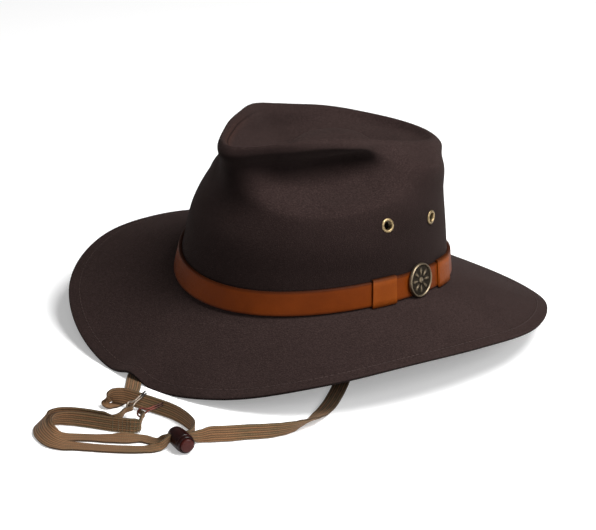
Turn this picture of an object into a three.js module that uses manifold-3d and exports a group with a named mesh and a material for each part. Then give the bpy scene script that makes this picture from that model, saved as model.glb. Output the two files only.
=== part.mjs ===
// A wide-brimmed felt bush hat resting on its brim, with its loose chin lace.
// Millimetres, +Z up, the hat's front at -Y, the wearer's left at +X.
// Angles round the crown: 0 at the front, 90 at the wearer's left.
import * as THREE from "three";
import Module from "manifold-3d";

const wasm = await Module();
wasm.setup();

const GAP = 0.3;

// Felt
const CROWN_LENGTH = 201;
const CROWN_WIDTH = 170.8;
const CROWN_HEIGHT = 111.5;
const BRIM_WIDTH = 76.5;
const FELT_WALL = 2.3;
const SIDE_SWEEP = 4.8;
const BASE_DROP = 1;
const JUNCTION_STEP = 1.2;
const SHOULDER_DROP = 5;
const CREASE_INSET = 5;
const CREASE_DROP = 3.5;
const ISLAND_SHIFT = 0.8;
const EDGE_ROUND = 0.9;
const LACE_LIFT = 6.4;
const LACE_LIFT_AT = -2.7;
const LACE_LIFT_SPREAD = 4.5;
const PRESSED_FLAT = 1.3;

// Shares of the crown's oval (waist to valley), of its height (rise, floor) and of the
// brim's width (brim), with the shoulder's roll in mm and the brim's fall in degrees.
const STEP = 22.5;
const SECTIONS = [
  {
    at: 0, waist: 0.954, lip: 0.889, pocket: 0.93, roll: 3.3, ridge: 0.939,
    rise: 0.954, valley: 0.42, floor: 0.8, brim: 0.997, fall: 32.2,
  },
  {
    at: 22.5, waist: 0.948, lip: 0.852, pocket: 0.775, roll: 3, ridge: 0.751,
    rise: 0.982, valley: 0.36, floor: 0.79, brim: 0.993, fall: 26.4,
  },
  {
    at: 45, waist: 0.931, lip: 0.796, pocket: 0.61, roll: 4.6, ridge: 0.608,
    rise: 0.996, valley: 0.32, floor: 0.77, brim: 0.986, fall: 14.9,
  },
  {
    at: 67.5, waist: 0.937, lip: 0.803, pocket: 0.565, roll: 6.1, ridge: 0.571,
    rise: 0.982, valley: 0.31, floor: 0.755, brim: 0.932, fall: 9.2,
  },
  {
    at: 90, waist: 0.948, lip: 0.875, pocket: 0.69, roll: 6.1, ridge: 0.538,
    rise: 0.941, valley: 0.33, floor: 0.75, brim: 0.908, fall: 10.1,
  },
  {
    at: 112.5, waist: 0.953, lip: 0.926, pocket: 0.868, roll: 7.1, ridge: 0.594,
    rise: 0.898, valley: 0.36, floor: 0.745, brim: 0.948, fall: 12.8,
  },
  {
    at: 135, waist: 0.949, lip: 0.914, pocket: 0.895, roll: 9.3, ridge: 0.732,
    rise: 0.841, valley: 0.42, floor: 0.735, brim: 0.954, fall: 15.2,
  },
  {
    at: 157.5, waist: 0.951, lip: 0.913, pocket: 0.875, roll: 6.4, ridge: 0.865,
    rise: 0.785, valley: 0.5, floor: 0.725, brim: 0.99, fall: 20.3,
  },
  {
    at: 180, waist: 0.953, lip: 0.921, pocket: 0.9, roll: 6.9, ridge: 0.906,
    rise: 0.767, valley: 0.55, floor: 0.715, brim: 0.997, fall: 22.3,
  },
];
const BRIM_STATIONS = [1, 0.95, 0.8, 0.6, 0.4, 0.2, 0.08];
const WAIST_AT = 0.4;
const LIP_AT = 0.645;
const POCKET_AT = 0.845;
const ISLAND_AT = 0.865;
const COLUMNS = 50;
const FRONT_CROWDING = 0.22;
const WALL_STEPS = 2;

// Band, keepers and concho
const BAND_LEVEL = 1.3;
const BAND_HEIGHT = 16.4;
const BAND_THICK = 2;
const BAND_GAP = 0.4;
const KEEPER_WIDTH = 20;
const KEEPER_THICK = 1.4;
const KEEPER_ANGLES = { keeper_front: 77, keeper_rear: 115.5 };
const CONCHO_ANGLE = 95.5;
const CONCHO_DIAMETER = 23.6;
const CONCHO_THICK = 1.6;
const CONCHO_RELIEF = 0.9;
const CONCHO_PETALS = 8;
const CONCHO_LEVEL = 11.4;
const CONCHO_GAP = 0.5;

// Eyelets, a pair on each side
const EYELETS = [
  { name: "eyelet_left_front", angle: 80.5, level: 52.5 },
  { name: "eyelet_left_rear", angle: 107.5, level: 50 },
  { name: "eyelet_right_front", angle: -80.5, level: 52.5 },
  { name: "eyelet_right_rear", angle: -107.5, level: 50 },
];
const EYELET_HOLE = 2.9;
const EYELET_BARREL = 3.35;
const EYELET_FLANGE = 5;
const EYELET_CLINCH = 4.5;
const EYELET_PLATE = 0.75;
const EYELET_GAP = 0.55;

// Chin lace, cord lock and cotter pins
const LACE_WIDTH = 10.4;
const LACE_THICK = 1.6;
const FLOOR_GAP = 0.2;
const LACE_STEPS = 1;
const LOCK_RADIUS = 6.35;
const LOCK_BACK = 11;
const LOCK_FRONT = 9;
const LOCK_AT = [92, -220.5];
const LOCK_HEADING = -20.5;
const LOCK_SLOT_AT = -5;
const LOCK_SLOT_LENGTH = 5;
const LOCK_SLOT_HEIGHT = 6.2;
const LOCK_BORE = 4.85;
const LOCK_BORE_DEPTH = 6;
const BUTTON_LENGTH = 5.2;
const BUTTON_PROUD = 2;
const LACE_PINCH = 0.5;
const LACE_PAIR = 2.3;
const PIN_WIRE = 0.65;
const PIN_EYE = 2.9;
const PIN_LENGTH = 17;

// The lace's route over the surface: place, lift clear of it, lean from standing on its
// edge (0) to lying flat (90), and share of its width. The lock's two passes go between.
const ROUTE_OUTER = [
  [33.9, -211.6, 6.14, 0, 0.3],
  [36.1, -211.5, 6.54, 0, 0.3],
  [39.4, -213, 6.84, 0, 0.3],
  [38.6, -217.8, 6.24, 0, 0.32],
  [42.9, -226.7, 5.96, 0, 0.45],
  [41.9, -231.3, 2.66, 0, 0.7],
  [34.6, -234.1, 0, 0, 1],
  [26.8, -238.2, 0, 0, 1],
  [19, -243.2, 0, 0, 1],
  [11.6, -250.6, 0, -6, 1],
  [8.9, -257.9, 0, -20, 1],
  [9.8, -264.1, 0, -38, 1],
  [13.4, -269.7, 0, -48, 1],
  [19.6, -275.1, 0, -54, 1],
  [26.9, -278.4, 0, -60, 1],
  [35.2, -279.9, 0, -68, 1],
  [41.3, -277.5, 0, -78, 1],
  [47.3, -271.3, 0, -86, 0.96],
  [56, -264, 0, -88, 0.93],
  [64.9, -256.4, 0, -88, 0.91],
  [72.7, -248.6, 0, -88, 0.91],
  [79.2, -240.9, 0, -88, 0.84],
  [83.8, -235.2, 0, -66, 0.64],
  [85.7, -230.7, 0.6, -15, 0.56],
];
const ROUTE_HIDDEN = [
  [93.3, -203.8, 0, -8, 0.85],
  [96.7, -198, 0, -18, 1],
  [102.4, -189.8, 0, -16, 1],
  [109.2, -178.1, 0, -6, 1],
  [116.6, -166.3, 0, 0, 1],
  [121.4, -155.5, 0, 14, 1],
  [123, -146.5, 0, 28, 1],
  [121.9, -136.4, 0, 46, 1],
  [118.9, -125.5, 0, 66, 1],
  [114.3, -113.4, 0, 82, 1],
  [107.6, -98.7, 0, 90, 1],
  [99.3, -83.7, 0, 90, 1],
  [90, -68.7, 0, 90, 1],
  [80, -54.5, 0, 90, 1],
  [66, -41, 0, 90, 1],
  [45, -31, 0, 90, 1],
  [21, -31.5, 0, 90, 1],
  [-1, -44, 0, 90, 1],
  [-18, -70, 0, 90, 1],
  [-25.5, -103, 0, 90, 1],
  [-21.5, -137, 0, 90, 1],
  [-9.3, -161.6, 0, 90, 1],
  [-0.9, -171.6, 0, 90, 1],
  [7.4, -181.5, 0, 90, 1],
  [12.9, -191.7, 0, 90, 0.95],
  [15.9, -200.9, 0, 90, 0.72],
  [16.6, -208.4, 0, 87, 0.6],
  [15.8, -211.6, 0.3, 64, 0.7],
  [13.7, -210, 1.7, 30, 0.9],
  [15.7, -206.3, 2.2, 6, 1],
  [20.4, -202, 2.3, -8, 1],
  [27.7, -199.1, 1.7, -16, 1],
  [34.8, -195.9, 0.6, -16, 1],
  [44.8, -193, 0, -12, 1],
  [56.9, -191.9, 0, -8, 1],
  [70.6, -194.1, 0, -4, 1],
  [81.9, -198.7, 0, 0, 0.95],
];
const ROUTE_INNER = [
  [77.3, -227.9, 0.4, 70, 0.58],
  [67.4, -230.6, 0, 82, 0.8],
  [60.7, -239.5, 0, 74, 1],
  [53.1, -247.2, 0, 82, 0.92],
  [45.2, -253.6, 0, 88, 0.88],
  [38.4, -260.5, 0, 88, 0.9],
  [33.6, -267.1, 0, 82, 0.92],
  [29, -271.5, 0, 68, 1],
  [23.1, -271.5, 0, 54, 1],
  [17.1, -268.2, 0, 46, 1],
  [14, -263.1, 0, 34, 1],
  [15.2, -256.7, 0, 16, 1],
  [20, -250.4, 0, 4, 1],
  [27.2, -245, 0, 0, 1],
  [34.6, -240.7, 0, 0, 1],
  [42.6, -236.4, 0, 0, 1],
  [49.9, -231.4, 0, 0, 1],
  [55.2, -227, 0, 0, 1],
  [57.1, -223.4, 0.9, 0, 0.82],
  [54.3, -219.6, 3.8, 0, 0.5],
  [51, -215, 5.3, 0, 0.34],
  [48.8, -211.4, 5.34, 0, 0.3],
  [45.9, -210.7, 5.24, 0, 0.3],
  [43.7, -210.2, 5.14, 0, 0.3],
];
const PIN_A_TOWARD = [34.3, -195.1, 13.2];
const PIN_B_TOWARD = [49.6, -194.3, 9.6];

const deg = THREE.MathUtils.degToRad;
const vec = (x, y, z) => new THREE.Vector3(x, y, z);
const lerp = THREE.MathUtils.lerp;

const FELT = new THREE.MeshStandardMaterial({ name: "felt", color: 0x3a2d2a, roughness: 0.95 });
const LEATHER = new THREE.MeshStandardMaterial({ name: "leather", color: 0x9c5426, roughness: 0.6 });
const BRASS = new THREE.MeshStandardMaterial({ name: "aged_brass", color: 0x9a8658, roughness: 0.45, metalness: 1 });
const LACE = new THREE.MeshStandardMaterial({ name: "braid", color: 0x8a7146, roughness: 0.9 });
const WOOD = new THREE.MeshStandardMaterial({ name: "lock_body", color: 0x3c1110, roughness: 0.35 });
const BUTTON = new THREE.MeshStandardMaterial({ name: "lock_button", color: 0x6e2823, roughness: 0.4 });
const STEEL = new THREE.MeshStandardMaterial({ name: "pin_wire", color: 0x8f8a80, roughness: 0.35, metalness: 1 });

function catmull(a, b, c, d, t) {
  const t2 = t * t;
  const t3 = t2 * t;
  return 0.5 * (2 * b + (c - a) * t + (2 * a - 5 * b + 4 * c - d) * t2 + (3 * b - a - 3 * c + d) * t3);
}

// A value of the section table at any angle, mirrored left and right.
function section(name, angle) {
  const last = SECTIONS.length - 1;
  const place = Math.abs(THREE.MathUtils.euclideanModulo(angle + 180, 360) - 180) / STEP;
  const i = Math.min(Math.floor(place), last - 1);
  const at = (k) => {
    const m = Math.abs(k);
    return SECTIONS[m > last ? 2 * last - m : m][name];
  };
  return catmull(at(i - 1), at(i), at(i + 1), at(i + 2), place - i);
}

// Hermite curve through the points, tangents weighted by the chords on both sides.
function smooth(points, steps, flatEnd) {
  const out = [];
  const last = points.length - 1;
  for (let i = 0; i < last; i++) {
    const p0 = points[Math.max(i - 1, 0)];
    const p1 = points[i];
    const p2 = points[i + 1];
    const p3 = points[Math.min(i + 2, last)];
    const step = p2.clone().sub(p1);
    const chord = step.length();
    const m1 = tangent(p0, p1, p2, chord);
    const m2 = tangent(p1, p2, p3, chord);
    if (i === 0) m1.copy(step);
    if (i === last - 1) m2.copy(step);
    if (i === last - 1 && flatEnd) m2.z = 0;
    for (let k = 0; k < steps; k++) {
      const t = k / steps;
      const t2 = t * t;
      const t3 = t2 * t;
      out.push(
        p1.clone().multiplyScalar(2 * t3 - 3 * t2 + 1)
          .addScaledVector(m1, t3 - 2 * t2 + t)
          .addScaledVector(p2, 3 * t2 - 2 * t3)
          .addScaledVector(m2, t3 - t2),
      );
    }
  }
  out.push(points[last].clone());
  return out;
}

function tangent(before, at, after, chord) {
  const back = at.clone().sub(before);
  const ahead = after.clone().sub(at);
  const db = Math.max(back.length(), 1e-9);
  const da = Math.max(ahead.length(), 1e-9);
  return back.multiplyScalar(da / db).add(ahead.multiplyScalar(db / da)).multiplyScalar(chord / (db + da));
}

// A mesh from vertices and faces, each face a list of vertex numbers.
function mesh(name, vertices, faces, material) {
  const geometry = new THREE.BufferGeometry();
  geometry.setAttribute("position", new THREE.Float32BufferAttribute(vertices.flatMap((p) => [p.x, p.y, p.z]), 3));
  const index = [];
  for (const face of faces) {
    for (let k = 1; k + 1 < face.length; k++) index.push(face[0], face[k], face[k + 1]);
  }
  geometry.setIndex(index);
  const node = new THREE.Mesh(geometry, material);
  node.name = name;
  return node;
}

// Closed rings joined in turn; the ends are capped, or joined to each other when looped.
function loft(rings, looped) {
  const n = rings[0].length;
  const vertices = rings.flat();
  const faces = [];
  const spans = looped ? rings.length : rings.length - 1;
  for (let i = 0; i < spans; i++) {
    const a = i * n;
    const b = ((i + 1) % rings.length) * n;
    for (let k = 0; k < n; k++) {
      const m = (k + 1) % n;
      faces.push([a + k, b + k, b + m, a + m]);
    }
  }
  if (!looped) {
    const end = (rings.length - 1) * n;
    faces.push(Array.from({ length: n }, (_, k) => k));
    faces.push(Array.from({ length: n }, (_, k) => end + n - 1 - k));
  }
  return { vertices, faces };
}

// A turned solid: a closed profile of [radius, station] pairs about an axis.
function turned(profile, frame, sides) {
  const vertices = [];
  const rows = profile.map(([r, s]) => {
    const first = vertices.length;
    if (r === 0) {
      vertices.push(place(frame, 0, 0, s));
      return { first, n: 1 };
    }
    for (let k = 0; k < sides; k++) {
      const a = (2 * Math.PI * k) / sides;
      vertices.push(place(frame, r * Math.cos(a), r * Math.sin(a), s));
    }
    return { first, n: sides };
  });
  const faces = [];
  for (let i = 0; i < rows.length; i++) {
    const a = rows[i];
    const b = rows[(i + 1) % rows.length];
    if (a.n === 1 && b.n === 1) continue;
    for (let k = 0; k < sides; k++) {
      const m = (k + 1) % sides;
      if (a.n === 1) faces.push([a.first, b.first + m, b.first + k]);
      else if (b.n === 1) faces.push([a.first + k, a.first + m, b.first]);
      else faces.push([a.first + k, a.first + m, b.first + m, b.first + k]);
    }
  }
  return { vertices, faces };
}

// A frame with its axis along w: u and v span the plane across it.
function frameAt(origin, w, hint) {
  const axis = w.clone().normalize();
  const u = hint.clone().addScaledVector(axis, -hint.dot(axis)).normalize();
  const v = axis.clone().cross(u);
  return { origin: origin.clone(), u, v, w: axis };
}

function place(frame, x, y, z) {
  return frame.origin.clone()
    .addScaledVector(frame.u, x)
    .addScaledVector(frame.v, y)
    .addScaledVector(frame.w, z);
}

function oval(angle) {
  const s = Math.sin(deg(angle));
  const c = Math.cos(deg(angle));
  const a = CROWN_WIDTH / 2;
  const b = CROWN_LENGTH / 2;
  return {
    point: vec(a * s, -b * c, 0),
    out: vec(s / a, -c / b, 0).normalize(),
    base: -SIDE_SWEEP * Math.cos(2 * deg(angle)) - BASE_DROP,
  };
}

// The brim's edge rides up over the lace where that passes under it.
function laceLift(angle, share) {
  const away = THREE.MathUtils.euclideanModulo(angle - LACE_LIFT_AT + 180, 360) - 180;
  return LACE_LIFT * Math.exp(-((away / LACE_LIFT_SPREAD) ** 2)) * share ** 3;
}

function profilePoints(angle) {
  const { point, out, base } = oval(angle);
  const at = (share, outward, z, shift = 0) =>
    vec(point.x * share + out.x * outward, point.y * share + out.y * outward + shift, z);
  const width = BRIM_WIDTH * section("brim", angle);
  const fall = deg(section("fall", angle));
  const points = BRIM_STATIONS.map((t) =>
    at(1, width * Math.cos(fall) * t, base - width * Math.sin(fall) * t + laceLift(angle, t)));
  const top = CROWN_HEIGHT * section("rise", angle);
  const waist = section("waist", angle);
  const ridge = section("ridge", angle);
  const valley = section("valley", angle);
  const floor = CROWN_HEIGHT * section("floor", angle);
  const island = CROWN_HEIGHT * ISLAND_AT;
  points.push(at(1, JUNCTION_STEP / 2, base + JUNCTION_STEP));
  points.push(at(1, 0, base + 4 * JUNCTION_STEP));
  points.push(at((1 + waist) / 2, 0, lerp(base, top * WAIST_AT, 0.55)));
  points.push(at(waist, 0, top * WAIST_AT));
  points.push(at(section("lip", angle), 0, top * LIP_AT));
  points.push(at(section("pocket", angle), 0, top * POCKET_AT));
  points.push(at(ridge, section("roll", angle), top - SHOULDER_DROP));
  points.push(at(ridge, 0, top));
  points.push(at(ridge, -CREASE_INSET, top - CREASE_DROP));
  points.push(at((ridge + valley) / 2, -CREASE_INSET / 2, lerp(top - CREASE_DROP, floor, 0.58), ISLAND_SHIFT * 0.4));
  points.push(at(valley, 0, floor, ISLAND_SHIFT));
  points.push(at(valley * 0.55, 0, lerp(floor, island, 0.75), ISLAND_SHIFT));
  points.push(at(0, 0, island, ISLAND_SHIFT));
  return points;
}

// One section of the felt's outer face, from the brim's edge up to the crown's middle.
function profile(angle) {
  const points = profilePoints(angle);
  const last = BRIM_STATIONS.length - 1;
  const brim = points.slice(0, last);
  return brim.concat(smooth(points.slice(last), WALL_STEPS, true));
}

function columnAngle(j) {
  const turn = (2 * Math.PI * j) / COLUMNS;
  return THREE.MathUtils.radToDeg(turn - FRONT_CROWDING * Math.sin(turn));
}

function surfaceNormal(angle, i) {
  const here = profile(angle);
  const side = profile(angle + 0.5)[i].sub(profile(angle - 0.5)[i]);
  const along = here[Math.min(i + 1, here.length - 1)].clone().sub(here[Math.max(i - 1, 0)]);
  return side.cross(along).normalize();
}

// The felt's outer face at a level above the crown's base, with its outward normal.
function wallAt(angle, level) {
  const points = profile(angle);
  const { base } = oval(angle);
  let i = BRIM_STATIONS.length;
  while (points[i + 1].z < base + level) i++;
  const t = (base + level - points[i].z) / (points[i + 1].z - points[i].z);
  const point = points[i].clone().lerp(points[i + 1], t);
  return { point, normal: surfaceNormal(angle, i).lerp(surfaceNormal(angle, i + 1), t).normalize() };
}

// How the hat sits: the two dips of the brim are brought level on the surface.

const brimFoot = (angle) => profile(angle)[0].addScaledVector(surfaceNormal(angle, 0), -FELT_WALL);
const feet = Array.from({ length: 360 }, (_, k) => brimFoot(k - 180));
const lowest = (points) => points.reduce((low, p) => (p.z < low.z ? p : low));
const frontFoot = lowest(feet.filter((p) => p.y < 0));
const backFoot = lowest(feet.filter((p) => p.y > 0));
const TILT = Math.atan2(backFoot.z - frontFoot.z, backFoot.y - frontFoot.y);
const tilted = (p) => p.clone().applyAxisAngle(vec(1, 0, 0), -TILT);
const frontEdge = tilted(profile(0)[0]).y;
const backEdge = tilted(profile(180)[0]).y;
const SEAT = vec(0, -(frontEdge + backEdge) / 2, -tilted(frontFoot).z - PRESSED_FLAT);
const seated = (p) => tilted(p).add(SEAT);
const pressed = (p) => {
  const q = seated(p);
  q.z = Math.max(q.z, 0);
  return q;
};
const seatedFrame = (angle, level) => {
  const { point, normal } = wallAt(angle, level);
  return frameAt(seated(point), tilted(normal), tilted(vec(0, 0, 1)));
};

function feltSolid() {
  const columns = [];
  for (let j = 0; j < COLUMNS; j++) {
    const angle = columnAngle(j);
    const outer = profile(angle);
    const last = outer.length - 1;
    const normals = outer.map((_, i) => (i < last ? surfaceNormal(angle, i) : vec(0, 0, 1)));
    const inner = outer.map((p, i) => p.clone().addScaledVector(normals[i], -FELT_WALL));
    const rim = outer[0].clone().lerp(inner[0], 0.5).addScaledVector(outer[0].clone().sub(outer[1]).normalize(), EDGE_ROUND);
    columns.push([...inner.slice(0, last).reverse(), rim, ...outer.slice(0, last)].map(pressed));
    if (j === 0) columns.poles = [pressed(inner[last]), pressed(outer[last])];
  }
  const rows = columns[0].length;
  const vertices = columns.flat();
  const faces = [];
  for (let j = 0; j < COLUMNS; j++) {
    const a = j * rows;
    const b = ((j + 1) % COLUMNS) * rows;
    for (let i = 0; i + 1 < rows; i++) faces.push([a + i, b + i, b + i + 1, a + i + 1]);
    faces.push([vertices.length, b, a]);
    faces.push([vertices.length + 1, a + rows - 1, b + rows - 1]);
  }
  vertices.push(...columns.poles);
  return { vertices, faces };
}

function toManifold({ vertices, faces }) {
  const triVerts = [];
  for (const f of faces) {
    for (let k = 1; k + 1 < f.length; k++) triVerts.push(f[0], f[k], f[k + 1]);
  }
  return wasm.Manifold.ofMesh(new wasm.Mesh({
    numProp: 3,
    vertProperties: new Float32Array(vertices.flatMap((p) => [p.x, p.y, p.z])),
    triVerts: new Uint32Array(triVerts),
  }));
}

function fromManifold(name, solid, material) {
  const data = solid.getMesh();
  const geometry = new THREE.BufferGeometry();
  geometry.setAttribute("position", new THREE.BufferAttribute(new Float32Array(data.vertProperties), 3));
  geometry.setIndex(Array.from(data.triVerts));
  const node = new THREE.Mesh(geometry, material);
  node.name = name;
  return node;
}

const part = new THREE.Group();
part.name = "bush_hat";

let felt = toManifold(feltSolid());
for (const { angle, level } of EYELETS) {
  const frame = seatedFrame(angle, level);
  const r = EYELET_BARREL + EYELET_GAP;
  const reach = FELT_WALL + 4;
  const hole = turned([[0, -reach], [r, -reach], [r, reach], [0, reach]], frame, 16);
  felt = felt.subtract(toManifold(hole));
}
part.add(fromManifold("felt_body", felt, FELT));

// A point on the band's section: outward from the felt, and up from the crown's base.
function beside(angle, outward, level) {
  const { point } = wallAt(angle, Math.max(level, BAND_LEVEL));
  point.addScaledVector(oval(angle).out, outward);
  point.z = oval(angle).base + level;
  return seated(point);
}

const bandTop = BAND_LEVEL + BAND_HEIGHT;
const bandFace = BAND_GAP + BAND_THICK;
const bandRings = Array.from({ length: COLUMNS }, (_, j) => {
  const angle = columnAngle(j);
  return [
    beside(angle, BAND_GAP, BAND_LEVEL),
    beside(angle, bandFace, BAND_LEVEL),
    beside(angle, bandFace, bandTop),
    beside(angle, BAND_GAP, bandTop),
  ];
});
const band = loft(bandRings, true);
part.add(mesh("hat_band", band.vertices, band.faces, LEATHER));

// Length of the band per degree of angle.
function bandPace(angle) {
  const a = beside(angle - 0.5, bandFace, bandTop);
  return a.distanceTo(beside(angle + 0.5, bandFace, bandTop));
}

for (const [name, centre] of Object.entries(KEEPER_ANGLES)) {
  const half = KEEPER_WIDTH / 2 / bandPace(centre);
  const near = bandFace + GAP;
  const far = near + KEEPER_THICK;
  const low = BAND_LEVEL - GAP;
  const high = bandTop + GAP;
  const inset = BAND_GAP + BAND_THICK / 2;
  const rings = [1, 0.5, 0, -0.5, -1].map((t) => {
    const angle = centre + half * t;
    return [
      beside(angle, inset, high),
      beside(angle, inset, high + KEEPER_THICK),
      beside(angle, far, high + KEEPER_THICK),
      beside(angle, far, low - KEEPER_THICK / 2),
      beside(angle, inset + BAND_THICK / 2, low - KEEPER_THICK / 2),
      beside(angle, inset + BAND_THICK / 2, low),
      beside(angle, near, low),
      beside(angle, near, high),
    ];
  });
  const keeper = loft(rings, false);
  part.add(mesh(name, keeper.vertices, keeper.faces, LEATHER));
}

// The concho is a turned disc with a raised rim and a rosette of petals.
function conchoHeight(share, turn) {
  const rim = Math.max(0, 1 - Math.abs(share - 0.93) / 0.07);
  const boss = Math.max(0, 1 - share / 0.2);
  const along = Math.max(0, 1 - Math.abs(share - 0.5) / 0.3);
  const petal = along * Math.max(0, Math.cos(CONCHO_PETALS * turn));
  return CONCHO_RELIEF * Math.max(Math.sqrt(rim), Math.sqrt(boss), 0.8 * petal);
}

const conchoFrame = (() => {
  const frame = seatedFrame(CONCHO_ANGLE, BAND_LEVEL + BAND_HEIGHT / 2);
  frame.origin = beside(CONCHO_ANGLE, bandFace + CONCHO_GAP, CONCHO_LEVEL);
  return frame;
})();
const conchoShares = [0, 0.12, 0.2, 0.35, 0.5, 0.65, 0.8, 0.86, 0.93, 0.985];
const conchoSides = 36;
const conchoRows = [[0, 0], [CONCHO_DIAMETER / 2 - 0.6, 0], [CONCHO_DIAMETER / 2, 0.6]];
const concho = (() => {
  const r = CONCHO_DIAMETER / 2;
  const profileRows = [...conchoRows, ...conchoShares.toReversed().map((s) => [r * s, CONCHO_THICK])];
  const shape = turned(profileRows, conchoFrame, conchoSides);
  const first = 1 + 2 * conchoSides;
  conchoShares.toReversed().forEach((share, i) => {
    const n = share === 0 ? 1 : conchoSides;
    for (let k = 0; k < n; k++) {
      const turn = (2 * Math.PI * k) / conchoSides;
      shape.vertices[first + i * conchoSides + k].addScaledVector(conchoFrame.w, conchoHeight(share, turn));
    }
  });
  return shape;
})();
part.add(mesh("concho", concho.vertices, concho.faces, BRASS));

for (const { name, angle, level } of EYELETS) {
  const frame = seatedFrame(angle, level);
  const back = -FELT_WALL - EYELET_GAP;
  const ring = turned([
    [EYELET_HOLE, back - EYELET_PLATE],
    [EYELET_CLINCH, back - EYELET_PLATE / 2],
    [EYELET_CLINCH, back],
    [EYELET_BARREL, back],
    [EYELET_BARREL, EYELET_GAP],
    [EYELET_FLANGE, EYELET_GAP],
    [EYELET_FLANGE - 0.2, EYELET_GAP + EYELET_PLATE * 0.55],
    [EYELET_FLANGE - 0.9, EYELET_GAP + EYELET_PLATE],
    [EYELET_HOLE + 0.3, EYELET_GAP + EYELET_PLATE * 0.8],
    [EYELET_HOLE, EYELET_GAP],
  ], frame, 14);
  part.add(mesh(name, ring.vertices, ring.faces, BRASS));
}

const lockAxis = vec(Math.cos(deg(LOCK_HEADING)), Math.sin(deg(LOCK_HEADING)), 0);
const lockAcross = vec(-lockAxis.y, lockAxis.x, 0);
const lockFrame = frameAt(vec(...LOCK_AT, LOCK_RADIUS), lockAxis, vec(0, 0, 1));

const laceHalfHeight = (lean, share) =>
  (LACE_WIDTH * share * Math.abs(Math.cos(deg(lean)))) / 2 + (LACE_THICK * Math.abs(Math.sin(deg(lean)))) / 2;

const routeStop = ([x, y, lift, lean, share]) => ({
  at: vec(x, y, FLOOR_GAP + laceHalfHeight(lean, share) + lift), lean, share,
});

// The lace's way through the lock's slot, from one side of the lock to the other.
function lockPass(side, sense) {
  const middle = LOCK_SLOT_AT + (side * LACE_PAIR) / 2;
  return [-1, 0, 1].map((t) => ({
    at: lockFrame.origin.clone()
      .addScaledVector(lockAxis, middle)
      .addScaledVector(lockAcross, t * sense * (LOCK_RADIUS + 0.5)),
    lean: 0,
    share: LACE_PINCH,
  }));
}

const route = [
  ...ROUTE_OUTER.map(routeStop),
  ...lockPass(1, 1),
  ...ROUTE_HIDDEN.map(routeStop),
  ...lockPass(-1, -1),
  ...ROUTE_INNER.map(routeStop),
];

// Ring centres with their lean and width, evenly refined between the chosen stops.
const laceLine = smooth(route.map((s) => s.at), LACE_STEPS, false);
const laceRings = laceLine.map((at, i) => {
  const whole = Math.min(Math.floor(i / LACE_STEPS), route.length - 2);
  const t = i / LACE_STEPS - whole;
  const lean = lerp(route[whole].lean, route[whole + 1].lean, t);
  const share = lerp(route[whole].share, route[whole + 1].share, t);
  const before = laceLine[Math.max(i - 1, 0)];
  const after = laceLine[Math.min(i + 1, laceLine.length - 1)];
  const ahead = after.clone().sub(before).normalize();
  const side = ahead.clone().cross(vec(0, 0, 1)).normalize();
  const up = side.clone().cross(ahead);
  const wide = up.clone().multiplyScalar(Math.cos(deg(lean))).addScaledVector(side, Math.sin(deg(lean)));
  const thin = ahead.clone().cross(wide);
  const w = (LACE_WIDTH * share) / 2;
  const h = LACE_THICK / 2;
  const edge = h * 0.7;
  const outline = [
    [-w, edge * 0.4], [-w + edge, h], [w - edge, h], [w, edge * 0.4],
    [w, -edge * 0.4], [w - edge, -h], [-w + edge, -h], [-w, -edge * 0.4],
  ];
  return {
    at,
    ahead,
    ring: outline.map(([a, b]) => at.clone().addScaledVector(wide, a).addScaledVector(thin, b)),
  };
});
const lace = loft(laceRings.map((r) => r.ring), false);
part.add(mesh("chin_lace", lace.vertices, lace.faces, LACE));

// A cotter pin of bent wire, its eye round one end of the lace.
function cotterPin(name, stop, toward, material) {
  const aim = vec(...toward).sub(stop.at).normalize();
  const frame = frameAt(stop.at, stop.ahead.clone().projectOnPlane(aim), aim);
  const half = PIN_WIRE + GAP / 2;
  const points = [];
  for (const x of [PIN_LENGTH, PIN_LENGTH * 0.62, PIN_EYE + 2]) points.push([x, half]);
  const mouth = Math.asin(half / PIN_EYE) + 0.35;
  for (let k = 0; k <= 8; k++) {
    const a = mouth + ((2 * Math.PI - 2 * mouth) * k) / 8;
    points.push([PIN_EYE * Math.cos(a), PIN_EYE * Math.sin(a)]);
  }
  for (const x of [PIN_EYE + 2, PIN_LENGTH * 0.62, PIN_LENGTH]) points.push([x, -half]);
  const line = points.map(([x, y]) => place(frame, x, y, 0));
  const rings = line.map((p, i) => {
    const ahead = line[Math.min(i + 1, line.length - 1)].clone().sub(line[Math.max(i - 1, 0)]).normalize();
    const side = frame.w.clone().cross(ahead);
    return Array.from({ length: 6 }, (_, k) => {
      const a = (Math.PI * (2 * k + 1)) / 6;
      return p.clone().addScaledVector(frame.w, PIN_WIRE * Math.cos(a)).addScaledVector(side, PIN_WIRE * Math.sin(a));
    });
  });
  const shape = loft(rings, false);
  part.add(mesh(name, shape.vertices, shape.faces, material));
}

cotterPin("cotter_pin_bright", laceRings[LACE_STEPS], PIN_A_TOWARD, STEEL);
cotterPin("cotter_pin_brown", laceRings[laceRings.length - 1 - LACE_STEPS], PIN_B_TOWARD, BRASS);

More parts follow.
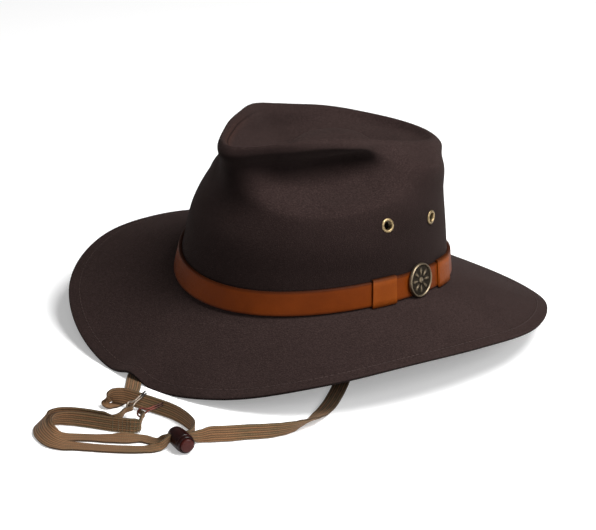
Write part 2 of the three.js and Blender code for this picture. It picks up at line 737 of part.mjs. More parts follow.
// The cord lock is a barrel with a cross slot for the lace and a push button in its end.
const barrel = turned([
  [0, -LOCK_BACK],
  [LOCK_RADIUS * 0.6, -LOCK_BACK],
  [LOCK_RADIUS * 0.84, -LOCK_BACK + 1],
  [LOCK_RADIUS * 0.96, -LOCK_BACK + 4],
  [LOCK_RADIUS, -LOCK_BACK + 9],
  [LOCK_RADIUS, LOCK_FRONT - 3.4],
  [LOCK_RADIUS - 0.5, LOCK_FRONT - 3],
  [LOCK_RADIUS - 0.1, LOCK_FRONT - 2.4],
  [LOCK_RADIUS - 0.4, LOCK_FRONT - 0.8],
  [LOCK_RADIUS - 0.9, LOCK_FRONT],
  [LOCK_BORE, LOCK_FRONT],
  [LOCK_BORE, LOCK_FRONT - LOCK_BORE_DEPTH],
  [0, LOCK_FRONT - LOCK_BORE_DEPTH],
], lockFrame, 20);
const slotReach = LOCK_RADIUS + 2;
const slot = loft([-slotReach, slotReach].map((y) => [
  [LOCK_SLOT_HEIGHT / 2, LOCK_SLOT_LENGTH / 2],
  [-LOCK_SLOT_HEIGHT / 2, LOCK_SLOT_LENGTH / 2],
  [-LOCK_SLOT_HEIGHT / 2, -LOCK_SLOT_LENGTH / 2],
  [LOCK_SLOT_HEIGHT / 2, -LOCK_SLOT_LENGTH / 2],
].map(([x, z]) => place(lockFrame, x, y, LOCK_SLOT_AT + z))), false);
part.add(fromManifold("cord_lock_body", toManifold(barrel).subtract(toManifold(slot)), WOOD));

const buttonRadius = LOCK_BORE - 0.35;
const buttonFront = LOCK_FRONT + BUTTON_PROUD;
const button = turned([
  [0, buttonFront - BUTTON_LENGTH],
  [buttonRadius, buttonFront - BUTTON_LENGTH],
  [buttonRadius, buttonFront - 0.8],
  [buttonRadius - 0.5, buttonFront - 0.25],
  [buttonRadius * 0.5, buttonFront],
  [0, buttonFront],
], lockFrame, 20);
part.add(mesh("cord_lock_button", button.vertices, button.faces, BUTTON));

export default part;
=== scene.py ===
"""Felt bush hat at rest on a pale floor, with its loose chin lace."""
import math

import bpy
import numpy as np
from mathutils import Matrix


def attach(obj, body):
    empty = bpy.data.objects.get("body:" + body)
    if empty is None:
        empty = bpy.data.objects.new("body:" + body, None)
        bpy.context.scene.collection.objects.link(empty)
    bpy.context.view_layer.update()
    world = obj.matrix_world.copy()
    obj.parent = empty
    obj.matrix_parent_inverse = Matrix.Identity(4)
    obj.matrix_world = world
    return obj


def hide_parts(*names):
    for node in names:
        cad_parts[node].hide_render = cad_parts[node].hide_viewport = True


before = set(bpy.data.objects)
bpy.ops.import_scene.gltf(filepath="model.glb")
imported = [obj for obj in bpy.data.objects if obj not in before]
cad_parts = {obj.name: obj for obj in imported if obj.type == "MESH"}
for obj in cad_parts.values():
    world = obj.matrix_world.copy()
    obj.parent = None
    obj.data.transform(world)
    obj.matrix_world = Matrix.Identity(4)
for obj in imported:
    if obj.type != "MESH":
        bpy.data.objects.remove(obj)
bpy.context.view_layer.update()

MM = 0.001
GAP = 0.3

# Felt, in millimetres, as in the part's source
CROWN_LENGTH = 201
CROWN_WIDTH = 170.8
CROWN_HEIGHT = 111.5
BRIM_WIDTH = 76.5
FELT_WALL = 2.3
SIDE_SWEEP = 4.8
BASE_DROP = 1
JUNCTION_STEP = 1.2
SHOULDER_DROP = 5
CREASE_INSET = 5
CREASE_DROP = 3.5
ISLAND_SHIFT = 0.8
EDGE_ROUND = 0.9
LACE_LIFT = 6.4
LACE_LIFT_AT = -2.7
LACE_LIFT_SPREAD = 4.5
PRESSED_FLAT = 1.3
STEP = 22.5
FIELDS = ("waist", "lip", "pocket", "roll", "ridge", "rise", "valley", "floor", "brim", "fall")
SECTIONS = (
    (0.954, 0.889, 0.93, 3.3, 0.939, 0.954, 0.42, 0.8, 0.997, 32.2),
    (0.948, 0.852, 0.775, 3, 0.751, 0.982, 0.36, 0.79, 0.993, 26.4),
    (0.931, 0.796, 0.61, 4.6, 0.608, 0.996, 0.32, 0.77, 0.986, 14.9),
    (0.937, 0.803, 0.565, 6.1, 0.571, 0.982, 0.31, 0.755, 0.932, 9.2),
    (0.948, 0.875, 0.69, 6.1, 0.538, 0.941, 0.33, 0.75, 0.908, 10.1),
    (0.953, 0.926, 0.868, 7.1, 0.594, 0.898, 0.36, 0.745, 0.948, 12.8),
    (0.949, 0.914, 0.895, 9.3, 0.732, 0.841, 0.42, 0.735, 0.954, 15.2),
    (0.951, 0.913, 0.875, 6.4, 0.865, 0.785, 0.5, 0.725, 0.99, 20.3),
    (0.953, 0.921, 0.9, 6.9, 0.906, 0.767, 0.55, 0.715, 0.997, 22.3),
)
# Side dents, folded deeper on the wearer's left than in the part, and a little shallower on the right:
# angle, height of the dent's lower edge, strength
DENTS = (
    (0, 78, 0), (9, 74, 0.35), (25, 67, 0.95), (45, 65, 1), (60, 66, 1), (77, 69.5, 0.8), (90, 74, 0.4),
    (104, 80, 0), (180, 80, 0),
)
# Height above that edge, share of the depth
DENT_PROFILE = (
    (-24, 0), (-14, -0.04), (-6, -0.09), (-1, -0.1), (4, 0.2), (9, 0.62), (14, 0.92), (18, 1), (22, 0.88),
    (27, 0.58), (33, 0.25), (40, 0.05), (46, 0),
)
DENT_DEPTH = 9.5
# Share of the depth on the wearer's right, and how fast it changes over the front
FAR_DENT = -0.25
DENT_TURN = 1.4
DENT_STEPS = 8
DENT_BLUR = 13
WAIST_AT = 0.4
LIP_AT = 0.645
POCKET_AT = 0.845
ISLAND_AT = 0.865
EDGE_SHARE = 0.95
FOOT_SHARE = 0.08

# The hem's threads: places along a thread with its share of the radius there, rise and flatness
HEM_INSET = 7
HEM_PACE = 0.25
INWARD_STEP = 0.01
STITCH_PITCH = 3.6
STITCH_LENGTH = 2.7
STITCH_PROFILE = ((-1, 0.25), (-0.85, 0.8), (0, 1), (0.85, 0.8), (1, 0.25))
STITCH_RISE = 0.35
STITCH_FLAT = 0.8
STITCH_SIDES = 8
THREAD_RADIUS = 0.3

# The felt's mesh; the points are places in what crown_points gives
FELT_COLUMNS = 240
BRIM_ROWS = 26
WALL_STEPS = 10
WALL_PACE = 0.5
EDGE_ANGLES = (150, 120, 90, 60, 30)
POCKET_POINT = 6
RIM_POINT = 8
CREASE_POINT = 9

# The felt's marks: strength at an angle and the degrees in which 1 is lost
SHARP_FADE = (1.6, 40)
WORN_FADE = (1.3, 35)
WORN_REAR_AT = 125
WORN_REAR_FADE = (1, 30)
NO_MARK = 20.0

# Band, keepers and concho
ROUND_STEPS = 4
STRAP_CORNER = 0.6
STRAP_STEPS = 3
STRAP_FACE = (0.2, 0.4, 0.6, 0.8)
BAND_LEVEL = 1.3
BAND_HEIGHT = 16.4
BAND_THICK = 2
BAND_GAP = 0.4
BAND_BACK = 0.15
BAND_PACE = 1.5
KEEPER_WIDTH = 20
KEEPER_THICK = 1.4
KEEPER_RINGS = 15
KEEPER_ANGLES = {"keeper_front": 77, "keeper_rear": 115.5}
CONCHO_ANGLE = 95.5
CONCHO_DIAMETER = 23.6
CONCHO_THICK = 1.6
CONCHO_RELIEF = 0.9
CONCHO_PETALS = 8
CONCHO_LEVEL = 11.4
CONCHO_GAP = 0.5
CONCHO_SIDES = 160
CONCHO_RINGS = 60
CONCHO_FACE = 0.985
CONCHO_EDGE_MARK = 0.6
# Relief: middle and half width as shares of the radius
CONCHO_RIM = (0.93, 0.07)
CONCHO_BOSS = (0, 0.2)
CONCHO_PETAL = (0.5, 0.3)
PETAL_RISE = 0.8

# Eyelets: name, angle and level above the crown's base
EYELETS = (
    ("eyelet_left_front", 80.5, 52.5),
    ("eyelet_left_rear", 107.5, 50),
    ("eyelet_right_front", -80.5, 52.5),
    ("eyelet_right_rear", -107.5, 50),
)
EYELET_HOLE = 2.9
EYELET_BARREL = 3.35
EYELET_FLANGE = 5
EYELET_CLINCH = 4.5
EYELET_PLATE = 0.75
EYELET_SEAT = 0.1
EYELET_ROUND = 0.45
EYELET_SIDES = 56
HOLE_REACH = 4
HOLE_SIDES = 32

# Chin lace
LACE_WIDTH = 10.4
LACE_THICK = 1.6
LACE_RIBS = 7
LACE_STEPS = 7
LACE_PINCH = 0.5
LACE_PAIR = 2.3
LACE_CLEAR = 0.5
LACE_EDGE = 0.35
RIB_STEPS = 4
RIB_DEPTH = 0.18
RIB_ROUND = 0.7
FLOOR_GAP = 0.2

# The sewn block: first and last stop of ROUTE_INNER, and shares of the lace's width and thickness
SEWN_STOPS = (15.3, 17.9)
SEWN_COLUMNS = 8
SEWN_ROWS = 5
SEWN_SPAN = 0.8
SEWN_FILL = 0.84
SEWN_LEVEL = 0.48

# Cord lock
LOCK_RADIUS = 6.35
LOCK_BACK = 11
LOCK_FRONT = 9
LOCK_AT = (92, -220.5)
LOCK_HEADING = -20.5
LOCK_SLOT_AT = -5
LOCK_SLOT_LENGTH = 5
LOCK_SLOT_HEIGHT = 6.2
LOCK_BORE = 4.85
LOCK_BORE_DEPTH = 6
LOCK_ROUND = 0.8
LOCK_SIDES = 72
CUTTER_PAST = 2
BUTTON_LENGTH = 5.2
BUTTON_PROUD = 2
BUTTON_CLEARANCE = 0.35
BUTTON_ROUND = 0.5
BUTTON_SIDES = 64

# Cotter pins; the tip's values are shares of the wire
PIN_WIRE = 0.65
PIN_SIDES = 14
PIN_STEPS = 4
PIN_EYE = 2.9
PIN_NECK = 2
PIN_LENGTH = 17
PIN_CURVE_FROM = 0.62
PIN_TIP = (0.55, 0.85)
EYE_STEPS = 10
EYE_OPENING = 0.35

# The lace's route: x, y, lift off the surface, lean (0 on its edge, 90 flat), share of width
ROUTE_OUTER = (
    (33.9, -211.6, 6.14, 0, 0.3),
    (36.1, -211.5, 6.54, 0, 0.3),
    (39.4, -213, 6.84, 0, 0.3),
    (38.6, -217.8, 6.24, 0, 0.32),
    (42.9, -226.7, 5.96, 0, 0.45),
    (41.9, -231.3, 2.66, 0, 0.7),
    (34.6, -234.1, 0, 0, 1),
    (26.8, -238.2, 0, 0, 1),
    (19, -243.2, 0, 0, 1),
    (11.6, -250.6, 0, -6, 1),
    (8.9, -257.9, 0, -20, 1),
    (9.8, -264.1, 0, -38, 1),
    (13.4, -269.7, 0, -48, 1),
    (19.6, -275.1, 0, -54, 1),
    (26.9, -278.4, 0, -60, 1),
    (35.2, -279.9, 0, -68, 1),
    (41.3, -277.5, 0, -78, 1),
    (47.3, -271.3, 0, -86, 0.96),
    (56, -264, 0, -88, 0.93),
    (64.9, -256.4, 0, -88, 0.91),
    (72.7, -248.6, 0, -88, 0.91),
    (79.2, -240.9, 0, -88, 0.84),
    (83.8, -235.2, 0, -66, 0.64),
    (85.7, -230.7, 0.6, -15, 0.56),
)
ROUTE_HIDDEN = (
    (93.3, -203.8, 0, -8, 0.85),
    (96.7, -198, 0, -18, 1),
    (102.4, -189.8, 0, -16, 1),
    (109.2, -178.1, 0, -6, 1),
    (116.6, -166.3, 0, 0, 1),
    (121.4, -155.5, 0, 14, 1),
    (123, -146.5, 0, 28, 1),
    (121.9, -136.4, 0, 46, 1),
    (118.9, -125.5, 0, 66, 1),
    (114.3, -113.4, 0, 82, 1),
    (107.6, -98.7, 0, 90, 1),
    (99.3, -83.7, 0, 90, 1),
    (90, -68.7, 0, 90, 1),
    (80, -54.5, 0, 90, 1),
    (66, -41, 0, 90, 1),
    (45, -31, 0, 90, 1),
    (21, -31.5, 0, 90, 1),
    (-1, -44, 0, 90, 1),
    (-18, -70, 0, 90, 1),
    (-25.5, -103, 0, 90, 1),
    (-21.5, -137, 0, 90, 1),
    (-9.3, -161.6, 0, 90, 1),
    (-0.9, -171.6, 0, 90, 1),
    (7.4, -181.5, 0, 90, 1),
    (12.9, -191.7, 0, 90, 0.95),
    (15.9, -200.9, 0, 90, 0.72),
    (16.6, -208.4, 0, 87, 0.6),
    (15.8, -211.6, 0.3, 64, 0.7),
    (13.7, -210, 1.7, 30, 0.9),
    (15.7, -206.3, 2.2, 6, 1),
    (20.4, -202, 2.3, -8, 1),
    (27.7, -199.1, 1.7, -16, 1),
    (34.8, -195.9, 0.6, -16, 1),
    (44.8, -193, 0, -12, 1),
    (56.9, -191.9, 0, -8, 1),
    (70.6, -194.1, 0, -4, 1),
    (81.9, -198.7, 0, 0, 0.95),
)
ROUTE_INNER = (
    (77.3, -227.9, 0.4, 70, 0.58),
    (67.4, -230.6, 0, 82, 0.8),
    (60.7, -239.5, 0, 74, 1),
    (53.1, -247.2, 0, 82, 0.92),
    (45.2, -253.6, 0, 88, 0.88),
    (38.4, -260.5, 0, 88, 0.9),
    (33.6, -267.1, 0, 82, 0.92),
    (29, -271.5, 0, 68, 1),
    (23.1, -271.5, 0, 54, 1),
    (17.1, -268.2, 0, 46, 1),
    (14, -263.1, 0, 34, 1),
    (15.2, -256.7, 0, 16, 1),
    (20, -250.4, 0, 4, 1),
    (27.2, -245, 0, 0, 1),
    (34.6, -240.7, 0, 0, 1),
    (42.6, -236.4, 0, 0, 1),
    (49.9, -231.4, 0, 0, 1),
    (55.2, -227, 0, 0, 1),
    (57.1, -223.4, 0.9, 0, 0.82),
    (54.3, -219.6, 3.8, 0, 0.5),
    (51, -215, 5.3, 0, 0.34),
    (48.8, -211.4, 5.34, 0, 0.3),
    (45.9, -210.7, 5.24, 0, 0.3),
    (43.7, -210.2, 5.14, 0, 0.3),
)
PIN_A_TOWARD = (34.3, -195.1, 13.2)
PIN_B_TOWARD = (49.6, -194.3, 9.6)

# Camera, placed about the middle of the crown's base before the hat is tilted to its rest
CAMERA_AZIMUTH = 41.54
CAMERA_ELEVATION = 20.35
CAMERA_DISTANCE = 2716.9
CAMERA_FOCUS = 3959.6
CAMERA_AIM_RIGHT = -15.5
CAMERA_AIM_UP = 1.36
CAMERA_ROLL = 4.53
FRAME_WIDTH = 596
SENSOR_WIDTH = 36
CAMERA_CLIP = 20

# Stage: lamps by name, place, size and power, in metres and watts, and the floor in millimetres
LAMPS = (
    ("overhead", (0.6, 0.1, 1.15), 0.7, 24),
    ("side", (1.7, 0.3, 1.1), 0.9, 18),
    ("front", (1.0, -1.3, 0.8), 0.8, 6),
)
LAMP_AIM = (0, 0, 0.05)
FLOOR_HALF = 6000
FLOOR_TONE = 0.8
FLOOR_GLOW = 0.3
SKY_STRENGTH = 0.16

# Linear colours: mostly a light and a dark tone, with a third for the leather's edge and the pin's tips
FELT_TONES = ((0.02, 0.0118, 0.0108), (0.026, 0.0158, 0.0145))
FELT_FLECK = (0.062, 0.041, 0.037)
FELT_FIBRE = (0.008, 0.0048, 0.0044)
# Painted shade for felt that faces away from up
FELT_PAINTED_SHADE = (0.004, 0.0022, 0.002)
FELT_RUBBED = (0.06, 0.023, 0.014)
# Painted shade in the crown's crease, and the darker line of the hem's seam
FELT_CREASE_SHADE_AND_SEAM = (0.006, 0.0035, 0.0032)
HEM_THREAD = ((0.05, 0.03, 0.026), (0.022, 0.014, 0.012))
SEWING_THREAD = ((0.13, 0.1, 0.055), (0.06, 0.048, 0.027))
BAND_LEATHER = ((0.125, 0.023, 0.0006), (0.08, 0.014, 0.0004), (0.019, 0.004, 0.0004))
KEEPER_LEATHER = ((0.17, 0.037, 0.003), (0.11, 0.022, 0.0014), (0.026, 0.006, 0.0008))
CONCHO_BRASS = ((0.21, 0.165, 0.11), (0.016, 0.0125, 0.009))
EYELET_BRASS = ((0.4, 0.3, 0.16), (0.14, 0.1, 0.055))
BRAID_TONES = ((0.16, 0.085, 0.04), (0.105, 0.075, 0.036))
BRAID_ODD_RIB = (0.21, 0.1, 0.045)
BRAID_FLECK = (0.24, 0.15, 0.08)
# Painted shade between the braid's ribs and between its picks
BRAID_GAP_SHADE = (0.022, 0.013, 0.008)
BRAID_PICK_SHADE = (0.045, 0.028, 0.016)
LOCK_BARREL = ((0.016, 0.0025, 0.0018), (0.006, 0.0014, 0.0012))
LOCK_BUTTON = ((0.05, 0.008, 0.006), (0.032, 0.0055, 0.004))
PIN_STEEL = ((0.3, 0.25, 0.2), (0.12, 0.09, 0.07), (0.01, 0.009, 0.008))
PIN_LACQUER = ((0.12, 0.03, 0.02), (0.06, 0.016, 0.011), (0.02, 0.009, 0.006))


def vec(*xyz):
    return np.array(xyz, float)


UP = vec(0, 0, 1)


def unit(v):
    return v / np.linalg.norm(v, axis=-1, keepdims=True)


def lerp(a, b, t):
    return a + (b - a) * t


def signed(angles):
    """Angles from -180 to 180, 0 at the front and positive on the wearer's left."""
    return (angles + 180) % 360 - 180


def distances(line):
    """The way along a line, or along each column of a grid, to each of its points."""
    steps = np.linalg.norm(np.diff(line, axis=0), axis=-1)
    return np.concatenate([0 * steps[:1], np.cumsum(steps, axis=0)])


def section(name, angles):
    """A value of the section table at each angle, mirrored left and right."""
    values = np.array([row[FIELDS.index(name)] for row in SECTIONS])
    last = len(values) - 1
    place = np.abs(signed(angles)) / STEP
    i = np.minimum(np.floor(place).astype(int), last - 1)
    t = place - i

    def at(k):
        k = np.abs(k)
        return values[np.where(k > last, 2 * last - k, k)]

    a, b, c, d = at(i - 1), at(i), at(i + 1), at(i + 2)
    return 0.5 * (
        2 * b + (c - a) * t + (2 * a - 5 * b + 4 * c - d) * t ** 2 + (3 * b - a - 3 * c + d) * t ** 3
    )


def smooth(points, steps, flat_end=False):
    """Hermite curve through points[k], tangents weighted by the chords on both sides."""
    def tangent(before, at, after, chord):
        back, ahead = at - before, after - at
        db = np.maximum(np.linalg.norm(back, axis=-1, keepdims=True), 1e-9)
        da = np.maximum(np.linalg.norm(ahead, axis=-1, keepdims=True), 1e-9)
        return (back * da / db + ahead * db / da) * chord / (db + da)

    out = []
    last = len(points) - 1
    for i in range(last):
        p0, p1, p2, p3 = points[max(i - 1, 0)], points[i], points[i + 1], points[min(i + 2, last)]
        step = p2 - p1
        chord = np.linalg.norm(step, axis=-1, keepdims=True)
        m1 = step if i == 0 else tangent(p0, p1, p2, chord)
        m2 = step.copy() if i == last - 1 else tangent(p1, p2, p3, chord)
        if i == last - 1 and flat_end:
            m2[..., 2] = 0
        for k in range(steps):
            t = k / steps
            t2, t3 = t ** 2, t ** 3
            out.append(
                p1 * (2 * t3 - 3 * t2 + 1) + m1 * (t3 - 2 * t2 + t) + p2 * (3 * t2 - 2 * t3) + m2 * (t3 - t2)
            )
    out.append(points[last])
    return np.array(out)


def oval(angles):
    """The crown's foot: its points, their outward directions and their heights."""
    s, c = np.sin(np.radians(angles)), np.cos(np.radians(angles))
    a, b = CROWN_WIDTH / 2, CROWN_LENGTH / 2
    point = np.stack([a * s, -b * c, 0 * s], -1)
    out = unit(np.stack([s / a, -c / b, 0 * s], -1))
    base = -SIDE_SWEEP * np.cos(2 * np.radians(angles)) - BASE_DROP
    return point, out, base


def brim_rows(angles, shares):
    """Points of the brim's upper face, from the edge (share 1) towards the crown (share 0)."""
    point, out, base = oval(angles)
    width = BRIM_WIDTH * section("brim", angles)
    fall = np.radians(section("fall", angles))
    away = signed(angles - LACE_LIFT_AT)
    rows = []
    for t in shares:
        lift = LACE_LIFT * np.exp(-(away / LACE_LIFT_SPREAD) ** 2) * t ** 3
        row = point + out * (width * np.cos(fall) * t)[:, None]
        row[:, 2] = base - width * np.sin(fall) * t + lift
        rows.append(row)
    return np.array(rows)


def crown_points(angles):
    """Chosen points of each section, from the brim's foot up to the crown's middle."""
    point, out, base = oval(angles)
    top = CROWN_HEIGHT * section("rise", angles)
    waist, ridge, valley = (section(k, angles) for k in ("waist", "ridge", "valley"))
    floor = CROWN_HEIGHT * section("floor", angles)
    island = CROWN_HEIGHT * ISLAND_AT

    def at(share, outward, z, shift=0.0):
        p = point * (share + 0 * top)[:, None] + out * (outward + 0 * top)[:, None]
        p[:, 1] += shift
        p[:, 2] = z
        return p

    return np.array([
        brim_rows(angles, [FOOT_SHARE])[0],
        at(1, JUNCTION_STEP / 2, base + JUNCTION_STEP),
        at(1, 0, base + 4 * JUNCTION_STEP),
        at((1 + waist) / 2, 0, lerp(base, top * WAIST_AT, 0.55)),
        at(waist, 0, top * WAIST_AT),
        at(section("lip", angles), 0, top * LIP_AT),
        at(section("pocket", angles), 0, top * POCKET_AT),
        at(ridge, section("roll", angles), top - SHOULDER_DROP),
        at(ridge, 0, top),
        at(ridge, -CREASE_INSET, top - CREASE_DROP),
        at((ridge + valley) / 2, -CREASE_INSET / 2, lerp(top - CREASE_DROP, floor, 0.58), ISLAND_SHIFT * 0.4),
        at(valley, 0, floor, ISLAND_SHIFT),
        at(valley * 0.55, 0, lerp(floor, island, 0.75), ISLAND_SHIFT),
        at(0, 0, island, ISLAND_SHIFT),
    ])


BRIM_SHARES = np.linspace(1, FOOT_SHARE, BRIM_ROWS + 1)[:-1]


def felt_rows(angles):
    """The felt's outer face, a row for each step from the brim's edge to the crown's middle."""
    return np.concatenate([brim_rows(angles, BRIM_SHARES), smooth(crown_points(angles), WALL_STEPS, True)])


def fold_dents(rows, angles):
    """Reshapes the side dents, with a fold along their lower edge."""
    away = np.abs(signed(angles))
    table = np.array(DENTS, float)
    kernel = np.hanning(DENT_BLUR + 2)[1:-1]
    kernel /= kernel.sum()
    half = DENT_BLUR // 2

    def column(i):
        values = np.interp(away, table[:, 0], table[:, i])
        return np.convolve(np.concatenate([values[-half:], values, values[:half]]), kernel, "valid")

    wall = slice(BRIM_ROWS, BRIM_ROWS + RIM_POINT * WALL_STEPS)
    profile = smooth(np.array(DENT_PROFILE, float), DENT_STEPS)
    above = rows[wall, :, 2] - column(1)
    push = DENT_DEPTH * column(2) * np.interp(above, profile[:, 0], profile[:, 1])
    left = np.clip(0.5 + DENT_TURN * np.sin(np.radians(angles)), 0, 1)
    push *= np.where(push < 0, left, lerp(FAR_DENT, 1, left))
    rows[wall] -= row_normals(rows)[wall] * push[..., None]
    return rows


def row_normals(rows):
    """The outward direction at each point of the felt's rows."""
    around = np.roll(rows, -1, 1) - np.roll(rows, 1, 1)
    along = np.gradient(rows, axis=0)
    normal = np.cross(around, along)
    length = np.linalg.norm(normal, axis=-1, keepdims=True)
    return np.where(length > 1e-9, normal / np.maximum(length, 1e-9), UP)


def feet():
    """The brim's lowest points all round, on its under face."""
    angles = np.arange(-180.0, 180.0)
    edge, inner = brim_rows(angles, [1, EDGE_SHARE])
    side = brim_rows(angles + 0.5, [1])[0] - brim_rows(angles - 0.5, [1])[0]
    return edge - unit(np.cross(side, inner - edge)) * FELT_WALL


def seat_of():
    """The turn and the shift that lay the hat on its front and back dips."""
    foot = feet()
    front = foot[np.argmin(np.where(foot[:, 1] < 0, foot[:, 2], 1e3))]
    back = foot[np.argmin(np.where(foot[:, 1] > 0, foot[:, 2], 1e3))]
    tilt = math.atan2(back[2] - front[2], back[1] - front[1])
    c, s = math.cos(tilt), math.sin(tilt)
    turn = np.array([[1, 0, 0], [0, c, s], [0, -s, c]])
    ends = brim_rows(np.array([0.0, 180.0]), [1])[0] @ turn.T
    return turn, vec(0, -(ends[0, 1] + ends[1, 1]) / 2, -(turn @ front)[2] - PRESSED_FLAT)


TURN, SEAT = seat_of()


def tilted(v):
    """A direction of the untilted hat, in the seated one."""
    return v @ TURN.T


def seated(p):
    """A point of the untilted hat, in the seated one."""
    return tilted(p) + SEAT


WALL_ANGLES = np.arange(0, 360, WALL_PACE)
WALL_ROWS = felt_rows(WALL_ANGLES)
WALL_NORMALS = row_normals(WALL_ROWS)
WALL_FIRST = BRIM_ROWS + WALL_STEPS
WALL_LAST = BRIM_ROWS + POCKET_POINT * WALL_STEPS


def wall_at(angle, level):
    """The felt's outer face at a level above the crown's base, with its outward normal."""
    column = int(round(angle % 360 / WALL_PACE)) % len(WALL_ANGLES)
    base = oval(WALL_ANGLES[column:column + 1])[2][0]
    span = slice(WALL_FIRST, WALL_LAST)
    heights = WALL_ROWS[span, column, 2] - base
    point, normal = (
        vec(*[np.interp(level, heights, grid[span, column, k]) for k in range(3)])
        for grid in (WALL_ROWS, WALL_NORMALS)
    )
    return point, unit(normal)


def beside(angle, outward, level):
    """A point beside the wall: outward from the felt, and up from the crown's base."""
    point, _ = wall_at(angle, max(level, BAND_LEVEL))
    _, out, base = oval(np.array([float(angle)]))
    point = point + out[0] * outward
    point[2] = base[0] + level
    return seated(point)


class Frame:
    """A place with its own axes: w along the axis, u and v across it."""

    def __init__(self, origin, w, hint):
        self.origin = origin
        self.w = unit(w)
        self.u = unit(hint - self.w * (hint @ self.w))
        self.v = np.cross(self.w, self.u)

    def at(self, x, y, z):
        return self.origin + self.u * x + self.v * y + self.w * z


def wall_frame(angle, level):
    """Axes on the felt's outer face: w straight out of it, u up along it."""
    point, normal = wall_at(angle, level)
    return Frame(seated(point), tilted(normal), tilted(UP))


def add_object(name, data):
    """An object in the scene, from a mesh, a lamp's or the camera's data."""
    item = bpy.data.objects.new(name, data)
    bpy.context.scene.collection.objects.link(item)
    return item


def view_axes(back, up):
    """Directions right, up and back, where up needn't be square to back."""
    right = unit(np.cross(up, back))
    return right, np.cross(back, right), back


def placement(back, up, place):
    """The matrix of an object that looks away from back, at a place in metres."""
    matrix = np.eye(4)
    matrix[:3] = np.stack([*view_axes(back, up), place], 1)
    return Matrix(matrix.tolist())


def add_mesh(name, vertices, faces):
    """A mesh object in the scene, from points in millimetres."""
    mesh = bpy.data.meshes.new(name)
    mesh.from_pydata((np.asarray(vertices, float) * MM).tolist(), [], [list(f) for f in faces])
    return add_object(name, mesh)


def add_piece(name, vertices, faces, material, slot, body="root", uv=None, replaces=()):
    """A smooth mesh object riding on a body, in place of the part's nodes that it replaces."""
    piece = add_mesh(name, vertices, faces)
    mesh = piece.data
    mesh.update()
    if uv is not None:
        layer = mesh.uv_layers.new(name="UVMap")
        index = np.empty(len(mesh.loops), int)
        mesh.loops.foreach_get("vertex_index", index)
        layer.data.foreach_set("uv", np.asarray(uv, float)[index].ravel())
    mesh.polygons.foreach_set("use_smooth", [True] * len(mesh.polygons))
    mesh.materials.append(material)
    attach(piece, body)
    if replaces:
        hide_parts(*replaces)
    return piece


def loft(rings, looped=False):
    """Vertices and faces of closed rings joined in turn, capped unless looped."""
    count, n = len(rings), len(rings[0])
    faces = []
    for i in range(count if looped else count - 1):
        a, b = i * n, (i + 1) % count * n
        faces += [(a + k, b + k, b + (k + 1) % n, a + (k + 1) % n) for k in range(n)]
    if not looped:
        faces.append(tuple(range(n)))
        faces.append(tuple((count - 1) * n + n - 1 - k for k in range(n)))
    return np.concatenate([np.asarray(r, float) for r in rings]), faces


def turned(profile, where, sides):
    """Vertices and faces of a closed profile of (radius, station) pairs turned about w."""
    vertices, rows, faces = [], [], []
    for r, s in profile:
        n = 1 if r == 0 else sides
        rows.append((len(vertices), n))
        for k in range(n):
            a = 2 * math.pi * k / sides
            vertices.append(where.at(r * math.cos(a), r * math.sin(a), s))
    for i, (a, na) in enumerate(rows):
        b, nb = rows[(i + 1) % len(rows)]
        if na == nb == 1:
            continue
        for k in range(sides):
            m = (k + 1) % sides
            if na == 1:
                faces.append((a, b + m, b + k))
            elif nb == 1:
                faces.append((a + k, a + m, b))
            else:
                faces.append((a + k, a + m, b + m, b + k))
    return np.array(vertices), faces


def rounded(profile, radius):
    """The profile with each corner rounded off; corners on the axis stay."""
    points = [vec(*p) for p in profile]
    out = []
    for i, p in enumerate(points):
        before, after = points[i - 1], points[(i + 1) % len(points)]
        if p[0] == 0:
            out.append(tuple(p))
            continue
        to_before, to_after = before - p, after - p
        r = min(radius, np.linalg.norm(to_before) * 0.45, np.linalg.norm(to_after) * 0.45)
        a, b = p + unit(to_before) * r, p + unit(to_after) * r
        for t in np.linspace(0, 1, ROUND_STEPS + 1):
            out.append(tuple(a * (1 - t) ** 2 + p * 2 * t * (1 - t) + b * t ** 2))
    return out


